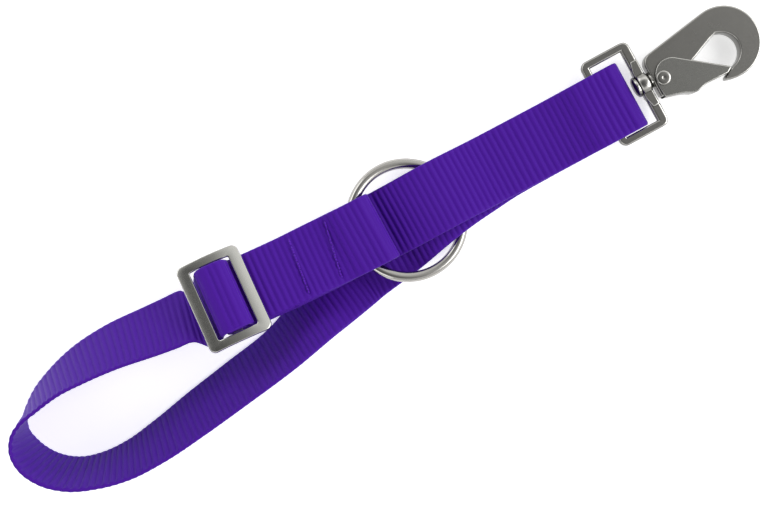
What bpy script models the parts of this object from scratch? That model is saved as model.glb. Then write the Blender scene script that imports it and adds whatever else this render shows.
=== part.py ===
"""Adjustable webbing tie strap with an O ring, a slider and a swivel trigger snap.

Lengths are in metres unless a name ends in _MM, and Z is up. The strap lies on a flat
surface with its long axis along X, the snap at +X and the adjustable loop at -X.
"""

import math

import bmesh
import bpy
from mathutils import Matrix, Vector

MM = 0.001
GAP = 0.0003  # room left between two pieces that touch

# Webbing.
STRAP_WIDTH = 0.0254
STRAP_THICKNESS = 0.0016

# Welded O ring.
RING_INSIDE = 0.0374
RING_WIRE = 0.0038
RING_FOLD_ROOM = 0.0010  # play of the wire inside the sewn fold

# Slider: a pressed frame, arched along its width, with a bar across its middle.
SLIDER_SLOT_PLAY = 0.0021  # room in each slot beside its two layers of webbing
SLIDER_SIDE_BAR = 0.0044
SLIDER_END_BAR = 0.0034
SLIDER_CENTRE_BAR = 0.0042
SLIDER_THICKNESS = 0.0018
SLIDER_ARCH = 0.0016
SLIDER_SLOT_ROOM = 0.0012  # how much longer a slot is than the webbing is wide

# Square eye of the snap.
EYE_INSIDE_LENGTH = 0.0126
EYE_BAR = 0.0030
EYE_SWIVEL_BAR = 0.0038
EYE_SIDE_ROOM = 0.0026  # how much wider the eye is inside than the webbing
EYE_BOSS_RADIUS = 0.0042

# Hook of the snap.
HOOK_THICKNESS = 0.0060
HOOK_BEVEL = 0.0010
HOOK_TIP_RADIUS = 0.01335
HOOK_HOLE_RADIUS = 0.0067
HUB_RADIUS = 0.0062
SHANK_RADIUS = 0.0024
SHANK_CLEARANCE = 0.0003
SHANK_HEAD_RADIUS = 0.0039
SHANK_HEAD_THICKNESS = 0.0016
COLLAR_RADIUS = 0.0030

# Gate, its rivet and its spring.
GATE_WALL = 0.0008
RIVET_RADIUS = 0.0015
RIVET_HEAD_RADIUS = 0.0026
RIVET_HEAD_THICKNESS = 0.0006
SPRING_WIRE = 0.0006
SPRING_TURNS = 2
SPRING_POCKET_WIDTH = 0.0028

# Stitching.
THREAD_RADIUS = 0.00035
STITCH_LENGTH = 0.0030

# Where the pieces lie.
LOOP_REACH = 0.0722  # from where the loop leaves the slider to its far end
RING_CENTRE_X = -0.0981
RING_CENTRE_Y = -0.0015
SLIDER_CENTRE = Vector((-0.1684, 0.0048, 0.0176))
SLIDER_YAW = math.radians(-4.0)
SLIDER_PITCH = math.radians(5.4)
SLIDER_LEAN = math.radians(12.0)
RUN_Y = 0.0011  # middle of the webbing where it holds the ring
EYE_BAR_X = -0.0157
EYE_CENTRE_Y = 0.0010
FRAME_ORIGIN = Vector((-0.10695, -0.00719, 0.0))

HALF = STRAP_THICKNESS / 2
LAYER = STRAP_THICKNESS + GAP
RING_RADIUS = (RING_INSIDE + RING_WIRE) / 2
SLIDER_SLOT = 2 * STRAP_THICKNESS + SLIDER_SLOT_PLAY
SLIDER_WIDTH = 2 * SLIDER_SIDE_BAR + SLIDER_CENTRE_BAR + 2 * SLIDER_SLOT
SNAP_HEIGHT = HOOK_THICKNESS / 2 + 2 * GAP + GATE_WALL + RIVET_HEAD_THICKNESS


# ---------------------------------------------------------------- mesh helpers


def clear_scene():
    for obj in list(bpy.data.objects):
        bpy.data.objects.remove(obj)


def material(name, colour, roughness, metallic):
    """A Principled material; colour is linear RGB."""
    made = bpy.data.materials.new(name)
    made.use_nodes = True
    shader = made.node_tree.nodes["Principled BSDF"]
    shader.inputs["Base Color"].default_value = (*colour, 1.0)
    shader.inputs["Roughness"].default_value = roughness
    shader.inputs["Metallic"].default_value = metallic
    return made


def add_object(name, bm, finish, parent):
    """Turns a bmesh into an object under a parent that carries its place."""
    bmesh.ops.remove_doubles(bm, verts=bm.verts, dist=1e-7)
    bmesh.ops.recalc_face_normals(bm, faces=bm.faces)
    mesh = bpy.data.meshes.new(name)
    bm.to_mesh(mesh)
    bm.free()
    mesh.materials.append(finish)
    mesh.shade_smooth()
    mesh.set_sharp_from_angle(angle=math.radians(35))
    obj = bpy.data.objects.new(name, mesh)
    bpy.context.scene.collection.objects.link(obj)
    obj.parent = parent
    return obj


def add_empty(name, parent, matrix):
    obj = bpy.data.objects.new(name, None)
    bpy.context.scene.collection.objects.link(obj)
    obj.parent = parent
    obj.matrix_local = matrix
    return obj


def skin(rings, closed=False):
    """Joins rings of points into a bmesh; an open run is capped at both ends."""
    bm = bmesh.new()
    loops = [[bm.verts.new(point) for point in ring] for ring in rings]
    pairs = list(zip(loops, loops[1:]))
    if closed:
        pairs.append((loops[-1], loops[0]))
    for low, high in pairs:
        for k in range(len(low)):
            j = (k + 1) % len(low)
            bm.faces.new((low[k], low[j], high[j], high[k]))
    if not closed:
        bm.faces.new(list(reversed(loops[0])))
        bm.faces.new(loops[-1])
    return bm


def prism(outline, low, high):
    """A flat outline, as (x, y) pairs, extruded from z = low to z = high."""
    return skin([[(x, y, z) for x, y in outline] for z in (low, high)])


def turned(profile, steps=24):
    """A closed body turned about X from (x, radius) pairs, with a point at each end."""
    bm = bmesh.new()
    first = bm.verts.new((profile[0][0], 0, 0))
    last = bm.verts.new((profile[-1][0], 0, 0))
    rings = []
    for x, radius in profile[1:-1]:
        angles = [2 * math.pi * k / steps for k in range(steps)]
        rings.append([bm.verts.new((x, radius * math.cos(a), radius * math.sin(a))) for a in angles])
    for k in range(steps):
        j = (k + 1) % steps
        bm.faces.new((first, rings[0][j], rings[0][k]))
        bm.faces.new((last, rings[-1][k], rings[-1][j]))
        for low, high in zip(rings, rings[1:]):
            bm.faces.new((low[k], low[j], high[j], high[k]))
    return bm


def arc(centre, radius, start, end, steps):
    """Points of an arc, angles in degrees."""
    angles = [math.radians(start + (end - start) * k / steps) for k in range(steps + 1)]
    return [(centre[0] + radius * math.cos(a), centre[1] + radius * math.sin(a)) for a in angles]


def in_metres(points_mm):
    return [(x * MM, y * MM) for x, y in points_mm]


def frames_along(points):
    """A tangent and two side directions at each point, turned as little as possible."""
    frames = []
    side = None
    for i, point in enumerate(points):
        tangent = (points[min(i + 1, len(points) - 1)] - points[max(i - 1, 0)]).normalized()
        if side is None:
            side = tangent.orthogonal().normalized()
        side = (side - tangent * side.dot(tangent)).normalized()
        frames.append((point, side, tangent.cross(side)))
    return frames


def tube(points, radii, sides=8):
    """A round tube along points, with one radius for each."""
    angles = [2 * math.pi * k / sides for k in range(sides)]
    rings = []
    for (point, side, up), radius in zip(frames_along(points), radii):
        rings.append([point + (side * math.cos(a) + up * math.sin(a)) * radius for a in angles])
    return skin(rings)


def bevel(obj, width, segments=2, angle=40):
    modifier = obj.modifiers.new("round_edges", "BEVEL")
    modifier.width = width
    modifier.segments = segments
    modifier.limit_method = "ANGLE"
    modifier.angle_limit = math.radians(angle)
    modifier.use_clamp_overlap = True


def boolean(obj, other, operation):
    other.hide_render = True
    other.display_type = "WIRE"
    modifier = obj.modifiers.new(other.name, "BOOLEAN")
    modifier.operation = operation
    modifier.object = other
    modifier.solver = "EXACT"


# ---------------------------------------------------------------- webbing route


def slider_frame():
    return (
        Matrix.Translation(SLIDER_CENTRE)
        @ Matrix.Rotation(SLIDER_YAW, 4, "Z")
        @ Matrix.Rotation(SLIDER_PITCH, 4, "Y")
    )


def under_slider():
    """Height below the slider's middle plane of the first layer that passes under it."""
    return SLIDER_ARCH * 0.3 + SLIDER_THICKNESS / 2 + GAP + HALF


def ring_setback():
    """How far the held arc curves back between its middle and the webbing's far edge."""
    half_chord = STRAP_WIDTH / 2 + RUN_Y - RING_CENTRE_Y
    return RING_RADIUS - math.sqrt(RING_RADIUS**2 - half_chord**2)


def ring_heights():
    """Wire centre heights: the free arc on the ground, and the arc held in the fold."""
    low = RING_WIRE / 2
    level = HALF + 2 * LAYER + HALF + RING_FOLD_ROOM + RING_WIRE / 2
    # The tilted ring is lower where it leaves the fold at the webbing's edges.
    share = ring_setback() / (2 * RING_RADIUS)
    high = (level - share * low) / (1 - share)
    return low, high


def ring_tilt():
    low, high = ring_heights()
    return math.asin((high - low) / (2 * RING_RADIUS))


def ring_arc_x(side):
    """X of the wire's centre on the free arc (side 1) or on the held arc (side -1)."""
    return RING_CENTRE_X + side * RING_RADIUS * math.cos(ring_tilt())


def run_station(along, below, lean=None):
    """A point of the doubled run between the slider and the ring.

    along is the distance from the slider's middle, and below the depth under the
    slider's middle plane. The run untwists from the slider's lean to flat at the ring.
    """
    reach = SLIDER_CENTRE.x * -1 + ring_arc_x(-1)
    if lean is None:
        start = SLIDER_WIDTH
        lean = SLIDER_LEAN * max(0.0, min(1.0, (reach - along) / (reach - start)))
    place = slider_frame() @ Matrix.Translation((along, 0, 0)) @ Matrix.Rotation(-lean, 4, "X")
    point = place @ Vector((0, 0, -below))
    width = (place.to_3x3() @ Vector((0, -1, 0))).normalized()
    return point, width


def flat_station(x_mm, y_mm, height):
    """A level point of the strap with its width straight across."""
    return Vector((x_mm * MM, y_mm * MM, height)), Vector((0, -1, 0))


LOOP_START = -184.4  # mm; beyond it the loop grows with its reach
LOOP_DRAWN_REACH = 0.0722  # the reach for which the stations below are given


def leaning_station(x_mm, y_mm, heading, lean):
    """A point of the loop, which stands on one edge.

    heading is the compass direction that the upper edge leans towards, and lean the
    angle of the webbing above the ground, both in degrees.
    """
    stretch = LOOP_REACH / LOOP_DRAWN_REACH
    if x_mm < LOOP_START:
        x_mm = LOOP_START + (x_mm - LOOP_START) * stretch
    lean = math.radians(lean)
    heading = math.radians(heading)
    level = math.cos(lean)
    width = Vector((level * math.cos(heading), level * math.sin(heading), math.sin(lean)))
    height = STRAP_WIDTH / 2 * math.sin(lean) + HALF * abs(math.cos(lean))
    return Vector((x_mm * MM, y_mm * MM, height)), width


def half_turn(centre, radius, steps, y, y_end):
    """Stations of a fold about Y that turns from the top layer to the one below it."""
    stations = []
    for k in range(steps + 1):
        angle = math.pi / 2 - math.pi * k / steps
        x = centre[0] + radius * math.cos(angle)
        z = centre[1] + radius * math.sin(angle)
        point = Vector((x, y + (y_end - y) * k / steps, z))
        stations.append((point, Vector((0, -1, 0))))
    return stations


def slider_end_stations():
    """The sewn end: it comes from its tip, goes round the centre bar and back beneath."""
    side = SLIDER_CENTRE_BAR / 2 + GAP + HALF
    face = SLIDER_THICKNESS / 2 + GAP + HALF
    first = under_slider()
    tail = first + LAYER
    below = tail + LAYER
    lean = SLIDER_LEAN
    return [
        run_station(0.0212, tail),
        run_station(0.0170, tail),
        run_station(0.0120, tail),
        run_station(0.0088, tail - 0.0002, lean),
        run_station(side + 0.0020, first + 0.0005, lean),
        run_station(side + 0.0006, 0.0010, lean),
        run_station(side, -0.0004, lean),
        run_station(side - 0.0010, -face + 0.0004, lean),
        run_station(0.0, -face, lean),
        run_station(-side + 0.0010, -face + 0.0004, lean),
        run_station(-side, 0.0, lean),
        run_station(-side + 0.0010, face - 0.0004, lean),
        run_station(0.0, face + 0.0001, lean),
        run_station(side - 0.0008, face + 0.0009, lean),
        run_station(side + 0.0008, below - 0.0015, lean),
        run_station(side + 0.0038, below - 0.0003, lean),
        run_station(0.0120, below),
        run_station(0.0170, below),
        run_station(0.0260, below + 0.0002),
        run_station(0.0340, below + 0.0006),
        run_station(0.0410, below + 0.0016),
    ]


def ring_marks():
    """X in mm of the free arc, of the same arc at the webbing's edge, and of the held arc."""
    free_x = ring_arc_x(1) / MM
    return free_x, free_x - ring_setback() / MM, ring_arc_x(-1) / MM


def upper_run_stations():
    """Under the ring's held arc, over its free arc, and on to the snap's eye."""
    free = RING_WIRE + GAP + HALF + LAYER
    rise = ring_setback() * math.tan(ring_tilt())
    over_bar = SNAP_HEIGHT + EYE_BAR / 2 + GAP + HALF
    level = HALF + LAYER
    free_x, edge_x, held_x = ring_marks()
    return [
        flat_station(held_x - 0.8, 1.3, level),
        flat_station(held_x + 6.7, 1.0, level),
        flat_station(held_x + 11.2, 0.9, level + 0.0004),
        flat_station(RING_CENTRE_X / MM - 1.9, 0.8, level + 0.0024),
        flat_station(edge_x - 5.6, 0.8, free + rise - 0.0005),
        flat_station(edge_x - 0.1, 0.8, free + rise),
        flat_station(free_x + 0.5, 0.7, free + 0.0004),
        flat_station(free_x + 10.0, 0.5, level + 0.0018),
        flat_station(free_x + 18.0, 0.4, level),
        flat_station(-40.0, 0.2, level),
        flat_station(-30.0, 0.1, level + 0.0018),
        flat_station(-21.5, 0.0, over_bar - 0.0002),
        flat_station(-15.7, 0.0, over_bar),
        flat_station(-11.5, 0.0, over_bar),
    ]


def snap_fold_stations():
    over_bar = SNAP_HEIGHT + EYE_BAR / 2 + GAP + HALF
    radius = (over_bar - HALF) / 2
    return half_turn((EYE_BAR_X + 0.0102 - radius, HALF + radius), radius, 10, 0.0, 0.0)


def lower_run_stations():
    """Back from the snap under the upper run, over the free arc, under the held arc."""
    free = RING_WIRE + GAP + HALF
    rise = ring_setback() * math.tan(ring_tilt())
    free_x, edge_x, held_x = ring_marks()
    return [
        flat_station(-12.5, 0.0, HALF),
        flat_station(-30.0, 0.0, HALF),
        flat_station(-45.0, 0.0, HALF),
        flat_station(free_x + 18.0, -0.3, HALF),
        flat_station(free_x + 10.0, -1.0, HALF + 0.0016),
        flat_station(free_x + 0.5, -1.9, free + 0.0004),
        flat_station(edge_x - 0.1, -3.0, free + rise),
        flat_station(edge_x - 5.6, -4.1, free + rise - 0.0008),
        flat_station(RING_CENTRE_X / MM - 1.9, -6.2, HALF + 0.0016),
        flat_station(held_x + 11.7, -7.4, HALF + 0.0001),
        flat_station(held_x + 5.7, -8.2, HALF),
        flat_station(held_x - 0.3, -9.1, HALF),
    ]


def loop_stations():
    """The loop that stands on its edge: out along the lower strand and back."""
    return [
        leaning_station(-125.0, -10.2, -82, 5),
        leaning_station(-132.0, -11.9, -82, 16),
        leaning_station(-139.2, -14.1, -82, 29),
        leaning_station(-158.5, -20.3, -82, 48),
        leaning_station(-180.4, -23.9, -83, 51),
        leaning_station(-196.7, -26.3, -84, 53),
        leaning_station(-214.0, -28.7, -88, 58),
        leaning_station(-226.0, -29.3, -95, 63),
        leaning_station(-236.5, -27.8, -104, 68),
        leaning_station(-245.6, -24.4, -122, 71),
        leaning_station(-251.9, -19.3, -142, 73),
        leaning_station(-255.6, -13.2, -163, 76),
        leaning_station(-256.6, -7.4, 180, 82),
        leaning_station(-255.6, -2.6, -30, 89),
        leaning_station(-252.4, 1.3, -45, 81),
        leaning_station(-246.1, 4.6, -58, 72),
        leaning_station(-236.6, 7.6, -70, 65),
        leaning_station(-226.1, 9.0, -80, 57),
        leaning_station(-214.0, 9.1, -88, 51),
        leaning_station(-197.2, 7.3, -94, 45),
        leaning_station(-190.6, 6.6, -94, 43),
        leaning_station(-184.4, 6.0, -95, 41.4),
    ]


def hanging_station(along, lean, spare):
    """A point of the strand on its way to the far slot, its upper edge clear of the slider."""
    lean = math.radians(lean)
    upper_edge = STRAP_WIDTH / 2 * math.sin(lean - SLIDER_LEAN)
    return run_station(along, SLIDER_THICKNESS / 2 + GAP + HALF + upper_edge + spare, lean)


def slider_weave_stations():
    """Up the far slot, over the centre bar and the sewn end, down the near slot."""
    side = SLIDER_CENTRE_BAR / 2 + GAP + HALF + LAYER
    face = SLIDER_THICKNESS / 2 + GAP + HALF + LAYER
    first = under_slider()
    lean = SLIDER_LEAN
    return [
        hanging_station(-0.0100, 31, 0.0006),
        hanging_station(-0.0073, 22, 0.0004),
        run_station(-side - 0.0010, 0.0018, math.radians(15)),
        run_station(-side - 0.0005, -0.0006, lean),
        run_station(-side + 0.0006, -face + 0.0012, lean),
        run_station(-side + 0.0026, -face + 0.0001, lean),
        run_station(0.0, -face, lean),
        run_station(side - 0.0026, -face + 0.0001, lean),
        run_station(side - 0.0006, -face + 0.0012, lean),
        run_station(side + 0.0005, -0.0006, lean),
        run_station(side + 0.0013, 0.0014, lean),
        run_station(side + 0.0034, first - 0.0001, lean),
        run_station(0.0120, first),
        run_station(0.0170, first),
        run_station(0.0260, first),
        run_station(0.0340, first),
        run_station(0.0420, first - 0.0001),
    ]


def ring_fold_stations():
    """Over the held arc, round it and back beneath to the sewn tip."""
    held = ring_heights()[1]
    top = held + RING_WIRE / 2 + RING_FOLD_ROOM + HALF
    bottom = HALF + 2 * LAYER
    radius = (top - bottom) / 2
    # The wire leaves the fold at a slant, so it is longer than its diameter along X.
    slant = RING_RADIUS / (RING_RADIUS - ring_setback())
    reach = ring_setback() + RING_WIRE / 2 * slant + GAP
    centre = (ring_arc_x(-1) + reach - (radius - HALF) * 0.85, (top + bottom) / 2)
    first = under_slider()
    turn = half_turn(centre, radius, 10, RUN_Y, RUN_Y)
    held_x = ring_arc_x(-1) / MM
    start = [flat_station(held_x - 0.8, 1.3, top)]
    end = [
        flat_station(held_x + 3.2, 1.1, bottom),
        flat_station(held_x - 0.8, 1.3, bottom),
        run_station(0.0400, first + LAYER + 0.0012),
        run_station(0.0345, first + LAYER),
        run_station(0.0280, first + LAYER),
        run_station(0.0232, first + LAYER),
    ]
    return start + turn + end


def webbing_route():
    return (
        slider_end_stations()
        + upper_run_stations()
        + snap_fold_stations()
        + lower_run_stations()
        + loop_stations()
        + slider_weave_stations()
        + ring_fold_stations()
    )


def smooth_route(stations, spacing, finest):
    """Points of a smooth curve through the stations, closer together where it bends."""
    points = [point for point, _ in stations]
    widths = [width for _, width in stations]
    knots = [0.0]
    for a, b in zip(points, points[1:]):
        knots.append(knots[-1] + (b - a).length)

    def slope(values, i):
        if i == 0:
            return (values[1] - values[0]) / (knots[1] - knots[0])
        if i == len(values) - 1:
            return (values[-1] - values[-2]) / (knots[-1] - knots[-2])
        left = knots[i] - knots[i - 1]
        right = knots[i + 1] - knots[i]
        before = (values[i] - values[i - 1]) / left
        after = (values[i + 1] - values[i]) / right
        mean = (before * right + after * left) / (left + right)
        # A stretch between two equal heights stays level.
        least = min(abs(before.z), abs(after.z)) * 3
        mean.z = max(-least, min(least, mean.z)) if before.z * after.z > 0 else 0.0
        return mean

    made = []
    for i in range(len(points) - 1):
        span = knots[i + 1] - knots[i]
        turn = slope(points, i).angle(slope(points, i + 1))
        steps = max(1, round(span / spacing), math.ceil(turn / math.radians(14)))
        twist = widths[i].angle(widths[i + 1])
        steps = max(steps, math.ceil(twist / math.radians(4)))
        steps = min(steps, max(1, math.ceil(span / finest)))
        for k in range(steps):
            t = k / steps
            values = []
            for track in (points, widths):
                h00 = 2 * t**3 - 3 * t**2 + 1
                h10 = t**3 - 2 * t**2 + t
                h01 = 3 * t**2 - 2 * t**3
                h11 = t**3 - t**2
                start = slope(track, i) * span
                end = slope(track, i + 1) * span
                values.append(track[i] * h00 + start * h10 + track[i + 1] * h01 + end * h11)
            made.append((values[0], values[1].normalized()))
    made.append((points[-1], widths[-1]))
    return made


def make_webbing(finish, parent):
    """One length of webbing, from the end sewn round the slider to the end at the ring."""
    route = smooth_route(webbing_route(), spacing=0.006, finest=0.0006)
    rings = []
    for i, (point, width) in enumerate(route):
        tangent = route[min(i + 1, len(route) - 1)][0] - route[max(i - 1, 0)][0]
        across = width * (STRAP_WIDTH / 2)
        up = tangent.cross(width).normalized() * HALF
        rings.append([
            point - across - up,
            point + across - up,
            point + across + up,
            point - across + up,
        ])
    return add_object("webbing", skin(rings), finish, parent)


# ---------------------------------------------------------------- hardware


def make_ring(finish, parent):
    """The ring's object turns about the line along which the fold holds it."""
    low, high = ring_heights()
    inward = ring_setback() / 2
    height = high - inward * math.tan(ring_tilt())
    hinge = Vector((ring_arc_x(-1) + inward, RING_CENTRE_Y, height))
    centre = Vector((RING_CENTRE_X, RING_CENTRE_Y, (low + high) / 2))
    around, section = 48, 10
    rings = []
    for k in range(around):
        a = 2 * math.pi * k / around
        out = Vector((math.cos(a), math.sin(a), 0))
        ring = []
        for j in range(section):
            b = 2 * math.pi * j / section
            reach = RING_RADIUS + RING_WIRE / 2 * math.cos(b)
            ring.append(out * reach + Vector((0, 0, RING_WIRE / 2 * math.sin(b))))
        rings.append(ring)
    bm = skin(rings, closed=True)
    pivot = add_empty("ring_hinge", parent, Matrix.Translation(hinge))
    tilt = Matrix.Rotation(ring_tilt(), 4, "Y")
    bmesh.ops.transform(bm, matrix=Matrix.Translation(centre - hinge) @ tilt, verts=bm.verts)
    return add_object("o_ring", bm, finish, pivot)


def rounded_loop(length_x, length_y, corner, steps, straight):
    """Centre line of a rounded rectangle, as (x, y, direction angle)."""
    loop = []
    hx, hy = length_x / 2 - corner, length_y / 2 - corner
    for quarter, (cx, cy) in enumerate([(hx, hy), (-hx, hy), (-hx, -hy), (hx, -hy)]):
        for k in range(steps + 1):
            a = math.pi / 2 * (quarter + k / steps)
            loop.append((cx + corner * math.cos(a), cy + corner * math.sin(a), a))
        nx, ny = [(-hx, hy), (-hx, -hy), (hx, -hy), (hx, hy)][quarter]
        a = math.pi / 2 * (quarter + 1)
        start = (cx + corner * math.cos(a), cy + corner * math.sin(a))
        end = (nx + corner * math.cos(a), ny + corner * math.sin(a))
        for k in range(1, straight):
            t = k / straight
            x = start[0] + (end[0] - start[0]) * t
            y = start[1] + (end[1] - start[1]) * t
            loop.append((x, y, a))
    return loop


def frame_ring(loop, width_x, width_y, thickness, arch, arch_half):
    """A bar swept round a loop: width_x is that of the bars that lie across X."""
    rings = []
    corners = [
        (1, 0.35), (0.72, 1), (-0.72, 1), (-1, 0.35),
        (-1, -0.35), (-0.72, -1), (0.72, -1), (1, -0.35),
    ]
    for x, y, a in loop:
        out = Vector((math.cos(a), math.sin(a), 0))
        share = math.cos(a) ** 2
        half_width = (width_x * share + width_y * (1 - share)) / 2
        ring = []
        for u, v in corners:
            point = Vector((x, y, 0)) + out * half_width * u
            rise = arch * (1 - (point.x / arch_half) ** 2) - arch * 0.3
            ring.append(point + Vector((0, 0, rise + thickness / 2 * v)))
        rings.append(ring)
    return skin(rings, closed=True)


def slider_length():
    return STRAP_WIDTH + SLIDER_SLOT_ROOM + 2 * SLIDER_END_BAR


def make_slider(finish, parent):
    """Pressed frame with the centre bar set low between its end bars."""
    place = slider_frame() @ Matrix.Rotation(-SLIDER_LEAN, 4, "X")
    holder = add_empty("slider_place", parent, place)
    inset_x, inset_y = SLIDER_SIDE_BAR / 2, SLIDER_END_BAR / 2
    loop = rounded_loop(SLIDER_WIDTH - 2 * inset_x, slider_length() - 2 * inset_y, 0.0022, 4, 5)
    bm = frame_ring(loop, SLIDER_SIDE_BAR, SLIDER_END_BAR, SLIDER_THICKNESS, SLIDER_ARCH, SLIDER_WIDTH / 2)
    slider = add_object("slider", bm, finish, holder)
    half = SLIDER_CENTRE_BAR / 2
    lip = SLIDER_THICKNESS / 2
    section = [(half, -0.5 * lip), (half, 0.5 * lip), (half * 0.7, lip), (-half * 0.7, lip),
               (-half, 0.5 * lip), (-half, -0.5 * lip), (-half * 0.7, -lip), (half * 0.7, -lip)]
    reach = slider_length() / 2 - SLIDER_END_BAR * 0.55
    ends = [[(x, y, z) for x, z in section] for y in (-reach, reach)]
    bar = add_object("slider_centre_bar_shape", skin(ends), finish, holder)
    boolean(slider, bar, "UNION")
    return slider


def make_snap_eye(finish, parent):
    """Square eye with a boss in its swivel bar; it turns about its far bar in the fold."""
    inside = STRAP_WIDTH + EYE_SIDE_ROOM
    length = EYE_INSIDE_LENGTH + EYE_BAR / 2 + EYE_SWIVEL_BAR / 2
    middle = EYE_BAR_X + length / 2
    holder = add_empty("eye_hinge", parent, Matrix.Translation((EYE_BAR_X, EYE_CENTRE_Y, SNAP_HEIGHT)))
    loop = rounded_loop(length, inside + EYE_BAR, 0.0012, 2, 2)
    rings = []
    corners = [(1, 0.4), (0.4, 1), (-0.4, 1), (-1, 0.4), (-1, -0.4), (-0.4, -1), (0.4, -1), (1, -0.4)]
    for x, y, a in loop:
        out = Vector((math.cos(a), math.sin(a), 0))
        half_width = EYE_BAR / 2
        if math.cos(a) > 0.5:
            half_width = EYE_SWIVEL_BAR / 2
        centre = Vector((x + length / 2, y, 0))
        rings.append([centre + out * half_width * u + Vector((0, 0, EYE_BAR / 2 * v)) for u, v in corners])
    eye = add_object("snap_eye", skin(rings, closed=True), finish, holder)
    start = length - EYE_SWIVEL_BAR / 2 - 0.0001
    end = length + EYE_SWIVEL_BAR / 2 + 0.0001
    radius = EYE_BOSS_RADIUS
    profile = [(start, 0), (start, radius - 0.0005), (start + 0.0005, radius), (end - 0.0005, radius),
               (end, radius - 0.0005), (end, 0)]
    boss = add_object("eye_boss_shape", turned(profile), finish, holder)
    boolean(eye, boss, "UNION")
    web = [(end - 0.0002, -0.0092), (end - 0.0002, 0.0092), (start + 0.0010, 0.0092), (start, 0.0050),
           (start, -0.0050), (start + 0.0010, -0.0092)]
    gusset = add_object("eye_gusset_shape", prism(web, -0.0021, 0.0021), finish, holder)
    boolean(eye, gusset, "UNION")
    bore = SHANK_RADIUS + SHANK_CLEARANCE
    drill = [(start - 0.002, 0), (start - 0.002, bore), (end + 0.002, bore), (end + 0.002, 0)]
    cutter = add_object("eye_bore_cutter", turned(drill), finish, holder)
    boolean(eye, cutter, "DIFFERENCE")
    return eye


PIVOT = Vector((0.0069, -0.0016, 0.0))  # rivet, seen from where the swivel's axis starts


def hook_outline():
    """Outline of the hook's body, round from the heel over the back to the nose."""
    tip = (0.0324, -0.0008)
    hole = (0.0302, -0.0031)
    heel = in_metres([(3.4, -7.2), (3.4, 4.4)])
    shoulder = arc((0.0074, 0.0047), 0.0040, 175, 105, 4)
    outside = arc(tip, HOOK_TIP_RADIUS, 98, -113, 22)
    nose = in_metres([(26.7, -12.6), (27.3, -11.9)])
    inside = arc(hole, HOOK_HOLE_RADIUS, -80, 58, 10)
    throat = in_metres([(31.3, 3.6), (28.4, 2.7), (22.0, 0.0), (18.4, -1.5), (14.6, -2.2)])
    hub = arc((PIVOT.x, PIVOT.y), HUB_RADIUS, -14, -104, 7)
    return heel + shoulder + outside + nose + inside + throat + hub


def make_snap_hook(finish, holder):
    """Hook body with the swivel shank, whose end is peened over inside the eye."""
    half = HOOK_THICKNESS / 2
    hook = add_object("snap_hook", prism(hook_outline(), -half, half), finish, holder)
    bevel(hook, HOOK_BEVEL)
    eye_face = EYE_BAR_X + EYE_BAR / 2 + EYE_INSIDE_LENGTH
    far_face = eye_face + EYE_SWIVEL_BAR
    head = eye_face - GAP - 0.0001
    head_end = head - SHANK_HEAD_THICKNESS
    collar = far_face + GAP + 0.0001
    profile = [
        (head_end, 0),
        (head_end, SHANK_HEAD_RADIUS * 0.55),
        (head_end + SHANK_HEAD_THICKNESS * 0.5, SHANK_HEAD_RADIUS),
        (head, SHANK_HEAD_RADIUS),
        (head, SHANK_RADIUS),
        (collar, SHANK_RADIUS),
        (collar, COLLAR_RADIUS - 0.0003),
        (collar + 0.0003, COLLAR_RADIUS),
        (0.0044, COLLAR_RADIUS - 0.0002),
        (0.0044, 0),
    ]
    shank = add_object("hook_shank_shape", turned(profile), finish, holder)
    boolean(hook, shank, "UNION")
    rivet_hole = add_object("hook_rivet_cutter", upright_rod(RIVET_RADIUS + 0.0002, 0.006), finish, holder)
    boolean(hook, rivet_hole, "DIFFERENCE")
    pocket = arc((PIVOT.x, PIVOT.y), 0.0034, 200, 70, 8) + [
        (PIVOT.x + 0.0062, PIVOT.y + 0.0032),
        (PIVOT.x + 0.0080, PIVOT.y - 0.0002),
        (PIVOT.x + 0.0080, PIVOT.y - 0.0090),
        (PIVOT.x - 0.0020, PIVOT.y - 0.0090),
    ]
    wide = SPRING_POCKET_WIDTH / 2
    slot = add_object("hook_spring_cutter", prism(pocket, -wide, wide), finish, holder)
    boolean(hook, slot, "DIFFERENCE")
    return hook


def upright_rod(radius, half_height):
    """A plain rod through the rivet's axis."""
    circle = arc((PIVOT.x, PIVOT.y), radius, 0, 360, 20)[:-1]
    return prism(circle, -half_height, half_height)


def gate_outline():
    """Outline of the gate's cheeks: round over the rivet, then straight to the tip."""
    return in_metres([
        (4.3, -7.9), (4.0, -4.0), (4.3, -0.8), (5.9, 2.3), (8.3, 3.9), (10.7, 4.2), (13.4, 3.5),
        (29.9, -9.2), (30.1, -10.0), (28.2, -11.1), (22.4, -10.9), (17.8, -11.2), (15.7, -11.8),
        (13.8, -11.3), (11.4, -10.0), (8.4, -9.1),
    ])


def make_gate(finish, holder):
    """Folded channel that straddles the hook and closes its mouth."""
    inner = HOOK_THICKNESS / 2 + GAP
    outer = inner + GATE_WALL
    shape = gate_outline()
    bm = prism(shape, -outer, outer)
    bmesh.ops.translate(bm, verts=bm.verts, vec=-PIVOT)
    hinge = add_empty("gate_hinge", holder, Matrix.Translation(PIVOT))
    gate = add_object("gate", bm, finish, hinge)
    bevel(gate, 0.0004, segments=1)
    hollow = in_metres([
        (2.0, -7.9), (8.5, -8.2), (11.7, -9.1), (14.1, -10.3), (15.7, -10.8), (17.6, -10.3), (22.4, -10.0),
        (27.6, -10.2), (31.5, -8.6), (31.5, 7.0), (2.0, 7.0),
    ])
    inside = add_object("gate_hollow_cutter", prism(hollow, -inner, inner), finish, holder)
    boolean(gate, inside, "DIFFERENCE")
    hole = add_object("gate_rivet_cutter", upright_rod(RIVET_RADIUS + 0.0002, 0.006), finish, holder)
    boolean(gate, hole, "DIFFERENCE")
    return gate


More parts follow.
